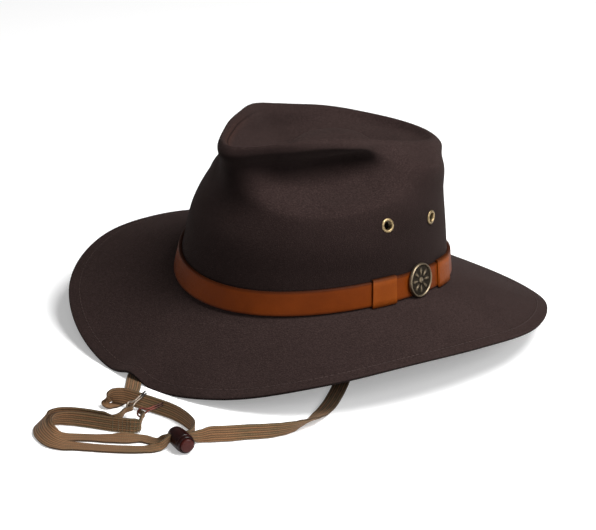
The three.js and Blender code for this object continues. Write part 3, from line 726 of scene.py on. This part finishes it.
class Look:
    """A procedural material: a Principled shader with nodes added in turn."""

    def __init__(self, name, **inputs):
        self.material = bpy.data.materials.new(name)
        self.material.use_nodes = True
        self.tree = self.material.node_tree
        self.shader = self.tree.nodes["Principled BSDF"]
        for key, value in inputs.items():
            self.shader.inputs[key.replace("_", " ")].default_value = value
        self.coordinates = self.tree.nodes.new("ShaderNodeTexCoord")

    def add(self, kind, links=(), **settings):
        node = self.tree.nodes.new(kind)
        for key, value in settings.items():
            if hasattr(node, key):
                setattr(node, key, value)
            else:
                node.inputs[key.replace("_", " ")].default_value = value
        for key, source in dict(links).items():
            self.tree.links.new(source, node.inputs[key])
        return node

    def feed(self, socket, value):
        """Gives a socket a number, a colour or another node's output."""
        if isinstance(value, (int, float)):
            socket.default_value = value
        elif isinstance(value, tuple):
            socket.default_value = (*value, 1)
        else:
            self.tree.links.new(value, socket)

    def noise(self, scale, detail=4, roughness=0.55, stretch=(1, 1, 1)):
        spread = self.add("ShaderNodeMapping", {"Vector": self.coordinates.outputs["Object"]}, Scale=stretch)
        node = self.add("ShaderNodeTexNoise", {"Vector": spread.outputs[0]},
                        Scale=scale, Detail=detail, Roughness=roughness)
        return node.outputs["Fac"]

    def attribute(self, name):
        return self.add("ShaderNodeAttribute", attribute_name=name).outputs["Fac"]

    def axes(self, vector):
        return self.add("ShaderNodeSeparateXYZ", {"Vector": vector}).outputs

    def uv(self):
        return self.axes(self.coordinates.outputs["UV"])

    def ramp(self, source, low, high, start=0.0, end=1.0):
        """Low where the source is at its start, high where it is at its end."""
        node = self.add("ShaderNodeMapRange", {"Value": source},
                        From_Min=start, From_Max=end, To_Min=low, To_Max=high)
        return node.outputs["Result"]

    def mix(self, factor, a, b):
        """Colour a where the factor is 0, b where it is 1."""
        node = self.add("ShaderNodeMix", {"Factor": factor}, data_type="RGBA")
        self.feed(node.inputs[6], a)
        self.feed(node.inputs[7], b)
        return node.outputs[2]

    def math(self, operation, a, b=0):
        node = self.add("ShaderNodeMath", operation=operation)
        self.feed(node.inputs[0], a)
        self.feed(node.inputs[1], b)
        return node.outputs[0]

    def centred(self, source):
        """How far the source is from a half."""
        return self.math("ABSOLUTE", self.math("SUBTRACT", source, 0.5))

    def colour(self, source):
        self.tree.links.new(source, self.shader.inputs["Base Color"])

    def rough(self, source):
        self.tree.links.new(source, self.shader.inputs["Roughness"])

    def bump(self, source, distance, strength=1.0):
        node = self.add("ShaderNodeBump", {"Height": source}, Distance=distance, Strength=strength)
        self.tree.links.new(node.outputs[0], self.shader.inputs["Normal"])


def felt_look():
    look = Look("felt_wool", Roughness=0.97, Specular_IOR_Level=0.05, Sheen_Weight=0.05, Sheen_Roughness=0.5,
                Sheen_Tint=(0.6, 0.42, 0.38, 1))
    cloud = look.noise(18, 3)
    fleck = look.noise(1500, 5, 0.7)
    fibre = look.noise(700, 4, 0.65, (1, 1, 3.5))
    base = look.mix(look.ramp(cloud, 0, 1, 0.35, 0.65), *FELT_TONES)
    base = look.mix(look.ramp(fleck, 0, 0.95, 0.5, 0.74), base, FELT_FLECK)
    base = look.mix(look.ramp(fibre, 0, 0.7, 0.35, 0.66), base, FELT_FIBRE)
    # Painted shade: the felt darkens the further its face turns from up, fully where it faces down, not at
    # all where it faces mostly up
    facing = look.axes(look.add("ShaderNodeNewGeometry").outputs["Normal"])
    base = look.mix(look.ramp(facing["Z"], 1, 0, -0.2, 0.66), base, FELT_PAINTED_SHADE)
    hem, crease, sharp, worn = (look.attribute(name) for name in ("hem", "crease", "sharp", "worn"))
    gap = look.math("ABSOLUTE", crease)
    patchy = look.math("MULTIPLY", worn, look.ramp(cloud, 0.4, 1))
    rubbed = look.math("MULTIPLY", look.ramp(gap, 0.45, 0, 0, 5), patchy)
    base = look.mix(rubbed, base, FELT_RUBBED)
    # Painted shade along the crown's crease, strongest at the front, and a darker line along the hem's seam;
    # both are also sunk in the bump
    groove = look.math("MULTIPLY", look.ramp(gap, 1, 0, 0.2, 1.1), sharp)
    seam = look.ramp(hem, 1, 0, 0.3, 1.2)
    dark = look.math("MAXIMUM", look.math("MULTIPLY", groove, 0.8), look.math("MULTIPLY", seam, 0.55))
    base = look.mix(dark, base, FELT_CREASE_SHADE_AND_SEAM)
    look.colour(base)
    nap = look.math("MULTIPLY", look.math("ADD", fleck, look.math("MULTIPLY", fibre, 0.8)), 0.45)
    sunk = look.math("SUBTRACT", nap, look.math("MULTIPLY", look.math("MAXIMUM", groove, seam), 0.6))
    look.bump(sunk, 0.001, 0.8)
    return look.material


def thread_look(name, light, dark):
    look = Look(name, Roughness=0.8, Specular_IOR_Level=0.2)
    look.colour(look.mix(look.ramp(look.noise(900, 3), 0, 1, 0.35, 0.65), light, dark))
    return look.material


def leather_look(name, light, dark, edge):
    look = Look(name, Roughness=0.6, Specular_IOR_Level=0.08)
    cloud = look.noise(28, 4)
    pore = look.noise(900, 6, 0.65)
    across = look.centred(look.uv()["Y"])
    base = look.mix(look.ramp(cloud, 0, 1, 0.3, 0.7), light, dark)
    base = look.mix(look.ramp(pore, 0, 0.4, 0.5, 0.8), base, dark)
    base = look.mix(look.ramp(across, 0, 0.85, 0.38, 0.5), base, edge)
    look.colour(base)
    look.rough(look.ramp(pore, 0.45, 0.68, 0.3, 0.7))
    look.bump(pore, 0.00018, 0.6)
    return look.material


def pin_look(name, light, dark, tip):
    look = Look(name, Metallic=0.8, Roughness=0.42)
    end = look.centred(look.uv()["X"])
    base = look.mix(look.ramp(look.noise(600, 4), 0, 1, 0.35, 0.7), light, dark)
    look.colour(look.mix(look.ramp(end, 0, 0.9, 0.42, 0.455), base, tip))
    return look.material


def brass_look(name, light, dark, rough, relief=False):
    look = Look(name, Metallic=1.0)
    cloud = look.noise(700, 5, 0.65)
    shade = look.ramp(cloud, 0, 1, 0.35, 0.7)
    if relief:
        height = look.attribute("relief")
        shade = look.math("MULTIPLY", look.ramp(height, 1, 0, 0.12, 0.62), look.ramp(cloud, 1.15, 0.75))
    look.colour(look.mix(shade, light, dark))
    look.rough(look.ramp(shade, rough, rough + 0.25))
    look.bump(cloud, 0.00012, 0.5)
    return look.material


def braid_look():
    look = Look("lace_braid", Roughness=0.85, Specular_IOR_Level=0.1, Sheen_Weight=0.05, Sheen_Roughness=0.5)
    uv = look.uv()
    place = look.math("MULTIPLY", uv["X"], LACE_RIBS)
    off = look.centred(look.math("FRACT", place))
    odd = look.math("PINGPONG", look.math("FLOOR", place), 1)
    slant = look.math("ADD", look.math("MULTIPLY", uv["Y"], 900), look.math("MULTIPLY", off, 1.6))
    pick = look.centred(look.math("FRACT", slant))
    cloud = look.noise(24, 3)
    patch = look.noise(60, 3)
    fleck = look.noise(1600, 4)
    base = look.mix(look.ramp(cloud, 0, 1, 0.4, 0.6), *BRAID_TONES)
    base = look.mix(look.math("MULTIPLY", odd, look.ramp(patch, 0.35, 1, 0.35, 0.65)), base, BRAID_ODD_RIB)
    base = look.mix(look.ramp(fleck, 0, 0.5, 0.45, 0.75), base, BRAID_FLECK)
    # Painted shade in the grooves between the ribs and between the picks, where the braid is lowest
    base = look.mix(look.ramp(off, 0, 0.9, 0.24, 0.48), base, BRAID_GAP_SHADE)
    base = look.mix(look.ramp(pick, 0.4, 0, 0.0, 0.25), base, BRAID_PICK_SHADE)
    look.colour(base)
    look.bump(look.math("ADD", look.math("MULTIPLY", pick, 1.2), fleck), 0.00025, 0.7)
    return look.material


def lock_look(name, light, dark, rough):
    look = Look(name, Specular_IOR_Level=0.14, Coat_Weight=0.06, Coat_Roughness=0.2)
    grain = look.noise(160, 5, 0.6, (1, 1, 6))
    look.colour(look.mix(look.ramp(grain, 0, 1, 0.3, 0.7), dark, light))
    look.rough(look.ramp(grain, rough, rough + 0.12))
    look.bump(grain, 0.0001, 0.4)
    return look.material


def add_camera():
    """The photograph's view."""
    azimuth, elevation = math.radians(CAMERA_AZIMUTH), math.radians(CAMERA_ELEVATION)
    back = vec(math.sin(azimuth) * math.cos(elevation), -math.cos(azimuth) * math.cos(elevation),
               math.sin(elevation))
    right, up, _ = view_axes(back, UP)
    roll = math.radians(CAMERA_ROLL)
    right, up = right * math.cos(roll) + up * math.sin(roll), up * math.cos(roll) - right * math.sin(roll)
    reach = CAMERA_DISTANCE / CAMERA_FOCUS
    eye = seated(back * CAMERA_DISTANCE)
    aim = seated(right * CAMERA_AIM_RIGHT * reach + up * CAMERA_AIM_UP * reach)
    data = bpy.data.cameras.new("camera")
    data.sensor_fit = "HORIZONTAL"
    data.sensor_width = SENSOR_WIDTH
    data.lens = CAMERA_FOCUS / FRAME_WIDTH * SENSOR_WIDTH
    data.clip_end = CAMERA_CLIP
    camera = add_object("camera", data)
    camera.matrix_world = placement(unit(eye - aim), tilted(up), eye * MM)
    bpy.context.scene.camera = camera


def lock_frame():
    heading = math.radians(LOCK_HEADING)
    axis = vec(math.cos(heading), math.sin(heading), 0)
    return Frame(vec(*LOCK_AT, LOCK_RADIUS), axis, UP)


LOCK = lock_frame()
LOCK_ACROSS = np.cross(UP, LOCK.w)


def route_stops(table):
    """Stops of the lace's middle, with its lower edge at the lift above the surface."""
    stops = []
    for x, y, lift, lean, share in table:
        tilt = math.radians(lean)
        half = (LACE_WIDTH * share * abs(math.cos(tilt)) + LACE_THICK * abs(math.sin(tilt))) / 2
        stops.append((x, y, FLOOR_GAP + half + lift, lean, share))
    return stops


def lock_pass(side, sense):
    """The lace's way through the lock's slot, from one side of the lock to the other."""
    middle = LOCK.origin + LOCK.w * (LOCK_SLOT_AT + side * LACE_PAIR / 2)
    reach = LOCK_ACROSS * sense * (LOCK_RADIUS + LACE_CLEAR)
    return [(*(middle + reach * t), 0, LACE_PINCH) for t in (-1, 0, 1)]


def add_lace(material):
    """The braid, with its middle line, its directions along and across, and its length."""
    route = np.array(
        route_stops(ROUTE_OUTER) + lock_pass(1, 1) + route_stops(ROUTE_HIDDEN)
        + lock_pass(-1, -1) + route_stops(ROUTE_INNER)
    )
    line = smooth(route[:, :3], LACE_STEPS)
    place = np.arange(len(line)) / LACE_STEPS
    whole = np.minimum(place.astype(int), len(route) - 2)
    t = place - whole
    t = t * t * (3 - 2 * t)
    lean = np.radians(lerp(route[whole, 3], route[whole + 1, 3], t))
    share = lerp(route[whole, 4], route[whole + 1, 4], t)
    ahead = unit(np.gradient(line, axis=0))
    side = unit(np.cross(ahead, UP))
    up = np.cross(side, ahead)
    wide = up * np.cos(lean)[:, None] + side * np.sin(lean)[:, None]
    thin = np.cross(ahead, wide)
    run = distances(line)
    samples = np.linspace(-1, 1, LACE_RIBS * RIB_STEPS + 1)
    crown = 1 - RIB_DEPTH + RIB_DEPTH * np.abs(np.sin(np.pi * LACE_RIBS * (samples + 1) / 2)) ** RIB_ROUND
    crown[[0, -1]] *= LACE_EDGE
    outline = list(zip(samples, crown)) + list(zip(samples[::-1], -crown[::-1]))
    rings, uv = [], []
    for i, at in enumerate(line):
        across = wide[i] * LACE_WIDTH * share[i] / 2
        through = thin[i] * LACE_THICK / 2
        rings.append([at + across * a + through * b for a, b in outline])
        uv += [((a + 1) / 2, run[i] * MM) for a, _ in outline]
    vertices, faces = loft(rings)
    faces = [f[::-1] for f in faces]
    piece = add_piece("chin_lace_braid", vertices, faces, material, "braid", uv=uv, replaces=("chin_lace",))
    return piece, line, ahead, wide, run[-1]


def add_block(line, ahead, wide, material):
    """The block where both ends are sewn down: a grid of threads on the inner strand."""
    thin = np.cross(ahead, wide)
    first = (len(line) - 1) / LACE_STEPS - len(ROUTE_INNER) + 1
    half = SEWN_FILL * SEWN_SPAN * LACE_WIDTH / (SEWN_ROWS - 1) / 2
    parts = []
    for column in np.linspace(*SEWN_STOPS, SEWN_COLUMNS):
        i = round((first + column) * LACE_STEPS)
        for row in np.linspace(-SEWN_SPAN, SEWN_SPAN, SEWN_ROWS):
            middle = line[i] + wide[i] * row * LACE_WIDTH / 2 + thin[i] * LACE_THICK * SEWN_LEVEL
            parts.append(stitch(middle, wide[i], thin[i], half))
    return add_piece("lace_sewing", *joined(parts), material, "braid")


def add_pin(name, stop, ahead, toward, material, slot):
    """A bent wire with its eye round a stop of the lace, and its legs pointing toward a place."""
    aim = unit(vec(*toward) - stop)
    where = Frame(stop, ahead - aim * (ahead @ aim), aim)
    half = PIN_WIRE + GAP / 2
    mouth = math.asin(half / PIN_EYE) + EYE_OPENING
    turns = np.linspace(mouth, 2 * math.pi - mouth, EYE_STEPS + 1)
    ends = (PIN_LENGTH, PIN_LENGTH * PIN_CURVE_FROM, PIN_EYE + PIN_NECK)
    flat = [(x, half) for x in ends]
    flat += [(PIN_EYE * math.cos(a), PIN_EYE * math.sin(a)) for a in turns]
    flat += [(x, -half) for x in ends[::-1]]
    line = smooth(np.array([where.at(x, y, 0) for x, y in flat]), PIN_STEPS)
    ahead = unit(np.gradient(line, axis=0))
    last = len(line) - 1
    angles = [2 * math.pi * k / PIN_SIDES for k in range(PIN_SIDES)]
    rings, uv = [], []
    for i, p in enumerate(line):
        side = np.cross(where.w, ahead[i])
        end = min(i, last - i)
        r = PIN_WIRE * (PIN_TIP[end] if end < len(PIN_TIP) else 1)
        rings.append([p + where.w * r * math.cos(a) + side * r * math.sin(a) for a in angles])
        uv += [(i / last, k / PIN_SIDES) for k in range(PIN_SIDES)]
    return add_piece(name + "_wire", *loft(rings), material, slot, uv=uv, replaces=(name,))


def cut(piece, cutters):
    """Cuts the closed meshes in cutters, vertices and faces, out of the piece."""
    for vertices, faces in cutters:
        tool = add_mesh("cutter", vertices, faces)
        mesh = tool.data
        modifier = piece.modifiers.new("cut", "BOOLEAN")
        modifier.object = tool
        modifier.operation = "DIFFERENCE"
        modifier.solver = "EXACT"
        graph = bpy.context.evaluated_depsgraph_get()
        result = bpy.data.meshes.new_from_object(piece.evaluated_get(graph))
        piece.modifiers.clear()
        old = piece.data
        piece.data = result
        bpy.data.meshes.remove(old)
        bpy.data.objects.remove(tool)
        bpy.data.meshes.remove(mesh)


def add_lock(body_look, button_look):
    """The lock's barrel with the lace's slot cut through it, and the button in its bore."""
    r, back, front = LOCK_RADIUS, -LOCK_BACK, LOCK_FRONT
    bottom = front - LOCK_BORE_DEPTH
    barrel = [
        (0, back), (r * 0.6, back), (r * 0.84, back + 1), (r * 0.96, back + 4), (r, back + 9),
        (r, front - 3.4), (r - 0.5, front - 3), (r - 0.1, front - 2.4), (r - 0.4, front - 0.8),
        (r - 0.9, front), (LOCK_BORE, front), (LOCK_BORE, bottom), (0, bottom),
    ]
    vertices, faces = turned(rounded(barrel, LOCK_ROUND), LOCK, LOCK_SIDES)
    body = add_piece("cord_lock_barrel", vertices, faces, body_look, "lock_body",
                     replaces=("cord_lock_body",))
    reach = r + CUTTER_PAST
    slot = [
        [LOCK.at(x * LOCK_SLOT_HEIGHT / 2, y, LOCK_SLOT_AT + z * LOCK_SLOT_LENGTH / 2)
         for x, z in ((1, 1), (-1, 1), (-1, -1), (1, -1))]
        for y in (-reach, reach)
    ]
    cut(body, [loft(slot)])
    r = LOCK_BORE - BUTTON_CLEARANCE
    front += BUTTON_PROUD
    back = front - BUTTON_LENGTH
    button = [(0, back), (r, back), (r, front - 0.8), (r - 0.5, front - 0.25), (r * 0.5, front), (0, front)]
    vertices, faces = turned(rounded(button, BUTTON_ROUND), LOCK, BUTTON_SIDES)
    cap = add_piece("cord_lock_plunger", vertices, faces, button_look, "lock_button", body="button",
                    replaces=("cord_lock_button",))
    return body, cap


def fade(angles, middle, start, pace):
    """A strength that falls away on both sides of an angle, kept from 0 to 1."""
    return np.clip(start - np.abs(signed(angles - middle)) / pace, 0, 1)


def mark_felt(piece, angles, outer, count):
    """Marks the felt for its look: mm to the hem's seam and the rim's crease, and the crease's painted shade
    and wear.
    """
    first = count - (len(outer) - 1)
    width = BRIM_WIDTH * section("brim", angles)
    hem = np.full((count, len(angles)), NO_MARK)
    for i, share in enumerate(BRIM_SHARES):
        hem[first + i] = np.abs(width * (1 - share) - HEM_INSET)
        hem[first - len(EDGE_ANGLES) - 1 - i] = hem[first + i]
    run = distances(outer)
    crease = np.full_like(hem, NO_MARK)
    crease[first:] = (run - run[BRIM_ROWS + CREASE_POINT * WALL_STEPS])[:-1]
    sharp = fade(angles, 0, *SHARP_FADE)
    worn = np.maximum(fade(angles, 0, *WORN_FADE), fade(angles, WORN_REAR_AT, *WORN_REAR_FADE))
    marks = {"hem": hem, "crease": crease, "sharp": sharp + 0 * hem, "worn": worn + 0 * hem}
    for name, values in marks.items():
        layer = piece.data.attributes.new(name, "FLOAT", "POINT")
        layer.data.foreach_set("value", np.append(values, [NO_MARK, NO_MARK]).astype(np.float32))


def stitch(middle, along, up, half):
    """One raised thread from -half to half along a direction, sunk in the surface below it."""
    side = np.cross(up, along)
    turns = [2 * math.pi * k / STITCH_SIDES for k in range(STITCH_SIDES)]
    rings = []
    for place, size in STITCH_PROFILE:
        r = THREAD_RADIUS * size
        centre = middle + along * half * place + up * (STITCH_RISE * THREAD_RADIUS * (1 - place ** 2))
        rings.append([centre + (side * math.cos(a) + up * math.sin(a) * STITCH_FLAT) * r for a in turns])
    return loft(rings)


def joined(parts):
    """The vertices and faces of several meshes as those of one."""
    vertices, faces = [], []
    for more, these in parts:
        start = len(vertices)
        vertices += [tuple(v) for v in more]
        faces += [tuple(start + i for i in f) for f in these]
    return np.array(vertices), faces


def add_hem(material):
    """The seam around the brim, as threads on both faces of the felt."""
    angles = np.arange(0, 360, HEM_PACE)
    share = 1 - HEM_INSET / (BRIM_WIDTH * section("brim", angles))
    inward = brim_rows(angles, [share - INWARD_STEP])[0]
    line = brim_rows(angles, [share])[0]
    run = distances(line)
    whole = run[-1] + np.linalg.norm(line[0] - line[-1])
    count = round(whole / STITCH_PITCH)
    parts = []
    for k in range(count):
        i = int(np.searchsorted(run, whole * k / count)) % len(line)
        along = unit(line[(i + 1) % len(line)] - line[i - 1])
        up = unit(np.cross(along, inward[i] - line[i]))
        up = up if up[2] > 0 else -up
        for face, level in ((up, 0), (-up, -FELT_WALL)):
            middle = line[i] + up * level
            parts.append(stitch(seated(middle), tilted(along), tilted(face), STITCH_LENGTH / 2))
    vertices, faces = joined(parts)
    low = vertices[:, 2].min()
    vertices[:, 2] += max(0, -low) * (vertices[:, 2] < 0)
    add_piece("hem_threads", vertices, faces, material, "felt")


def add_felt(material):
    """The felt as one closed skin: inner face, brim's edge and outer face, with the eyelets' holes."""
    angles = np.arange(FELT_COLUMNS) * 360 / FELT_COLUMNS
    outer = fold_dents(felt_rows(angles), angles)
    inner = outer - row_normals(outer) * FELT_WALL
    inner[-1] = outer[-1] - vec(0, 0, FELT_WALL)
    away = unit(outer[0] - outer[1])
    middle = (outer[0] + inner[0]) / 2
    half = (outer[0] - inner[0]) / 2
    rim = [middle + half * math.cos(a) + away * EDGE_ROUND * math.sin(a) for a in np.radians(EDGE_ANGLES)]
    rows = seated(np.concatenate([inner[:-1][::-1], rim, outer[:-1]]))
    rows[..., 2] = np.maximum(rows[..., 2], 0)
    count, n = rows.shape[:2]
    faces = []
    for i in range(count - 1):
        a, b = i * n, (i + 1) * n
        faces += [(a + k, a + (k + 1) % n, b + (k + 1) % n, b + k) for k in range(n)]
    poles = seated(np.array([inner[-1, 0], outer[-1, 0]]))
    low, high, top = count * n, count * n + 1, (count - 1) * n
    faces += [(low, (k + 1) % n, k) for k in range(n)]
    faces += [(high, top + k, top + (k + 1) % n) for k in range(n)]
    vertices = np.concatenate([rows.reshape(-1, 3), poles])
    piece = add_piece("felt_hat", vertices, faces, material, "felt", replaces=("felt_body",))
    mark_felt(piece, angles, outer, count)
    reach = FELT_WALL + HOLE_REACH
    radius = EYELET_BARREL + EYELET_SEAT
    profile = [(0, -reach), (radius, -reach), (radius, reach), (0, reach)]
    cut(piece, [turned(profile, wall_frame(angle, level), HOLE_SIDES) for _, angle, level in EYELETS])


def strap_section(low, high, near, far):
    """A strap's closed section of (outward, level) pairs, with rounded corners."""
    corners = ((near, low, 1.0), (far, low, 1.5), (far, high, 0.0), (near, high, 0.5))
    out = []
    for x, y, start in corners:
        cx = x + STRAP_CORNER * (1 if x == near else -1)
        cy = y + STRAP_CORNER * (1 if y == low else -1)
        for k in range(STRAP_STEPS + 1):
            a = math.pi * start + math.pi / 2 * k / STRAP_STEPS
            out.append((cx + STRAP_CORNER * math.cos(a), cy + STRAP_CORNER * math.sin(a)))
        if (x, y) == (far, low):
            out += [(far, lerp(low, high, t)) for t in STRAP_FACE]
    return out


def add_strap(name, node, angles, outline, material, slot, looped):
    """A strap round the crown's foot: the outline's (outward, level) pairs at each angle."""
    rings, uv = [], []
    low = min(y for _, y in outline)
    high = max(y for _, y in outline)
    run = 0
    for i, angle in enumerate(angles):
        ring = [beside(angle, x, y) for x, y in outline]
        if i:
            run += np.linalg.norm(ring[0] - rings[-1][0])
        rings.append(ring)
        uv += [(run * MM, (y - low) / (high - low)) for _, y in outline]
    add_piece(name, *loft(rings, looped), material, slot, uv=uv, replaces=(node,))


def add_band(material, keeper_material):
    top = BAND_LEVEL + BAND_HEIGHT
    face = BAND_GAP + BAND_THICK
    band = strap_section(BAND_LEVEL, top, BAND_BACK, face)
    angles = np.arange(0, 360, BAND_PACE)
    add_strap("leather_band", "hat_band", angles, band, material, "band_leather", True)
    near = face + GAP / 2
    far = face + GAP + KEEPER_THICK
    low, high = BAND_LEVEL - GAP, top + GAP
    thick = KEEPER_THICK
    inset = BAND_GAP + BAND_THICK / 2
    loop = [
        (inset, high), (inset, high + thick), (far - 0.6, high + thick), (far, high + thick - 0.6),
        *[(far, lerp(low, high, t)) for t in (0.75, 0.5, 0.25)],
        (far, low - thick / 2 + 0.5), (far - 0.5, low - thick / 2), (face, low - thick / 2),
        (face, low), (near, low), (near, high),
    ]
    for node, centre in KEEPER_ANGLES.items():
        pace = np.linalg.norm(beside(centre - 1, face, top) - beside(centre + 1, face, top)) / 2
        half = KEEPER_WIDTH / 2 / pace
        angles = centre + half * np.cos(np.linspace(0, math.pi, KEEPER_RINGS))
        add_strap(node + "_loop", node, angles, loop, keeper_material, "keeper_leather", False)


def concho_height(share, turn):
    """The relief's height from 0 to 1: a rim, a boss in the middle and petals between them."""
    rim, boss, along = (
        np.maximum(0, 1 - np.abs(share - middle) / half)
        for middle, half in (CONCHO_RIM, CONCHO_BOSS, CONCHO_PETAL)
    )
    petal = PETAL_RISE * along * np.maximum(0, np.cos(CONCHO_PETALS * turn))
    return np.maximum(np.sqrt(np.maximum(rim, boss)), petal)


def add_concho(material):
    where = wall_frame(CONCHO_ANGLE, BAND_LEVEL + BAND_HEIGHT / 2)
    where.origin = beside(CONCHO_ANGLE, BAND_GAP + BAND_THICK + CONCHO_GAP, CONCHO_LEVEL)
    r, sides = CONCHO_DIAMETER / 2, CONCHO_SIDES
    edge = [(0, 0), (r - 0.6, 0), (r - 0.15, 0.2), (r, 0.6), (r, 1.1)]
    shares = np.linspace(CONCHO_FACE, 0, CONCHO_RINGS + 1)
    vertices, faces = turned(edge + [(r * s, CONCHO_THICK) for s in shares], where, sides)
    relief = np.zeros(len(vertices))
    first = 1 + (len(edge) - 1) * sides
    for i, share in enumerate(shares):
        n = 1 if share == 0 else sides
        start = first + i * sides
        relief[start:start + n] = concho_height(share, 2 * math.pi * np.arange(n) / sides)
    vertices = vertices + where.w * (relief * CONCHO_RELIEF)[:, None]
    relief[:first] = CONCHO_EDGE_MARK
    piece = add_piece("concho_rosette", vertices, faces, material, "aged_brass", replaces=("concho",))
    layer = piece.data.attributes.new("relief", "FLOAT", "POINT")
    layer.data.foreach_set("value", relief)


def add_eyelets(material):
    back = -FELT_WALL - EYELET_SEAT
    front = EYELET_SEAT
    profile = rounded([
        (EYELET_HOLE, back - EYELET_PLATE), (EYELET_CLINCH, back - EYELET_PLATE / 2), (EYELET_CLINCH, back),
        (EYELET_BARREL, back), (EYELET_BARREL, front), (EYELET_FLANGE, front),
        (EYELET_FLANGE - 0.2, front + EYELET_PLATE * 0.7), (EYELET_FLANGE - 1, front + EYELET_PLATE * 1.3),
        (EYELET_HOLE + 0.3, front + EYELET_PLATE), (EYELET_HOLE, front),
    ], EYELET_ROUND)
    for name, angle, level in EYELETS:
        vertices, faces = turned(profile, wall_frame(angle, level), EYELET_SIDES)
        add_piece(name + "_ring", vertices, faces, material, "aged_brass", replaces=(name,))


def add_stage():
    """A pale floor, a weak sky and the lamps."""
    corners = [(x * FLOOR_HALF, y * FLOOR_HALF, 0) for x, y in ((-1, -1), (1, -1), (1, 1), (-1, 1))]
    floor = add_mesh("floor", corners, [(0, 1, 2, 3)])
    look = Look("floor_pale", Roughness=0.9, Specular_IOR_Level=0.1, Emission_Strength=FLOOR_GLOW,
                Emission_Color=(1, 1, 1, 1), Base_Color=(FLOOR_TONE, FLOOR_TONE, FLOOR_TONE, 1))
    floor.data.materials.append(look.material)
    world = bpy.data.worlds.new("world")
    bpy.context.scene.world = world
    world.use_nodes = True
    sky = world.node_tree.nodes["Background"].inputs
    sky["Color"].default_value = (1, 1, 1, 1)
    sky["Strength"].default_value = SKY_STRENGTH
    for name, place, size, power in LAMPS:
        light = bpy.data.lights.new(name, "AREA")
        light.shape = "DISK"
        light.size = size
        light.energy = power
        lamp = add_object(name, light)
        back = unit(vec(*place) - vec(*LAMP_AIM))
        lamp.matrix_world = placement(back, UP, place)


bpy.context.scene.view_settings.view_transform = "Standard"
add_camera()
add_stage()

BRAID = braid_look()
LOCK_DARK = lock_look("lock_dark", *LOCK_BARREL, 0.25)
LOCK_RED = lock_look("lock_red", *LOCK_BUTTON, 0.38)
STEEL = pin_look("pin_worn_steel", *PIN_STEEL)
LACQUER = pin_look("pin_red_brown", *PIN_LACQUER)
SEWING = thread_look("sewing_thread", *SEWING_THREAD)

lace, lace_line, lace_ahead, lace_wide, lace_length = add_lace(BRAID)
sewing = add_block(lace_line, lace_ahead, lace_wide, SEWING)
pin_a = add_pin("cotter_pin_bright", lace_line[LACE_STEPS], lace_ahead[LACE_STEPS], PIN_A_TOWARD,
                STEEL, "pin_steel")
last = len(lace_line) - 1 - LACE_STEPS
pin_b = add_pin("cotter_pin_brown", lace_line[last], lace_ahead[last], PIN_B_TOWARD, LACQUER, "pin_lacquer")
lock_body, lock_button = add_lock(LOCK_DARK, LOCK_RED)

add_felt(felt_look())
add_hem(thread_look("hem_thread", *HEM_THREAD))
add_band(leather_look("leather_tan", *BAND_LEATHER), leather_look("leather_keeper", *KEEPER_LEATHER))
add_concho(brass_look("antique_brass_relief", *CONCHO_BRASS, 0.42, relief=True))
add_eyelets(brass_look("antique_brass", *EYELET_BRASS, 0.35))
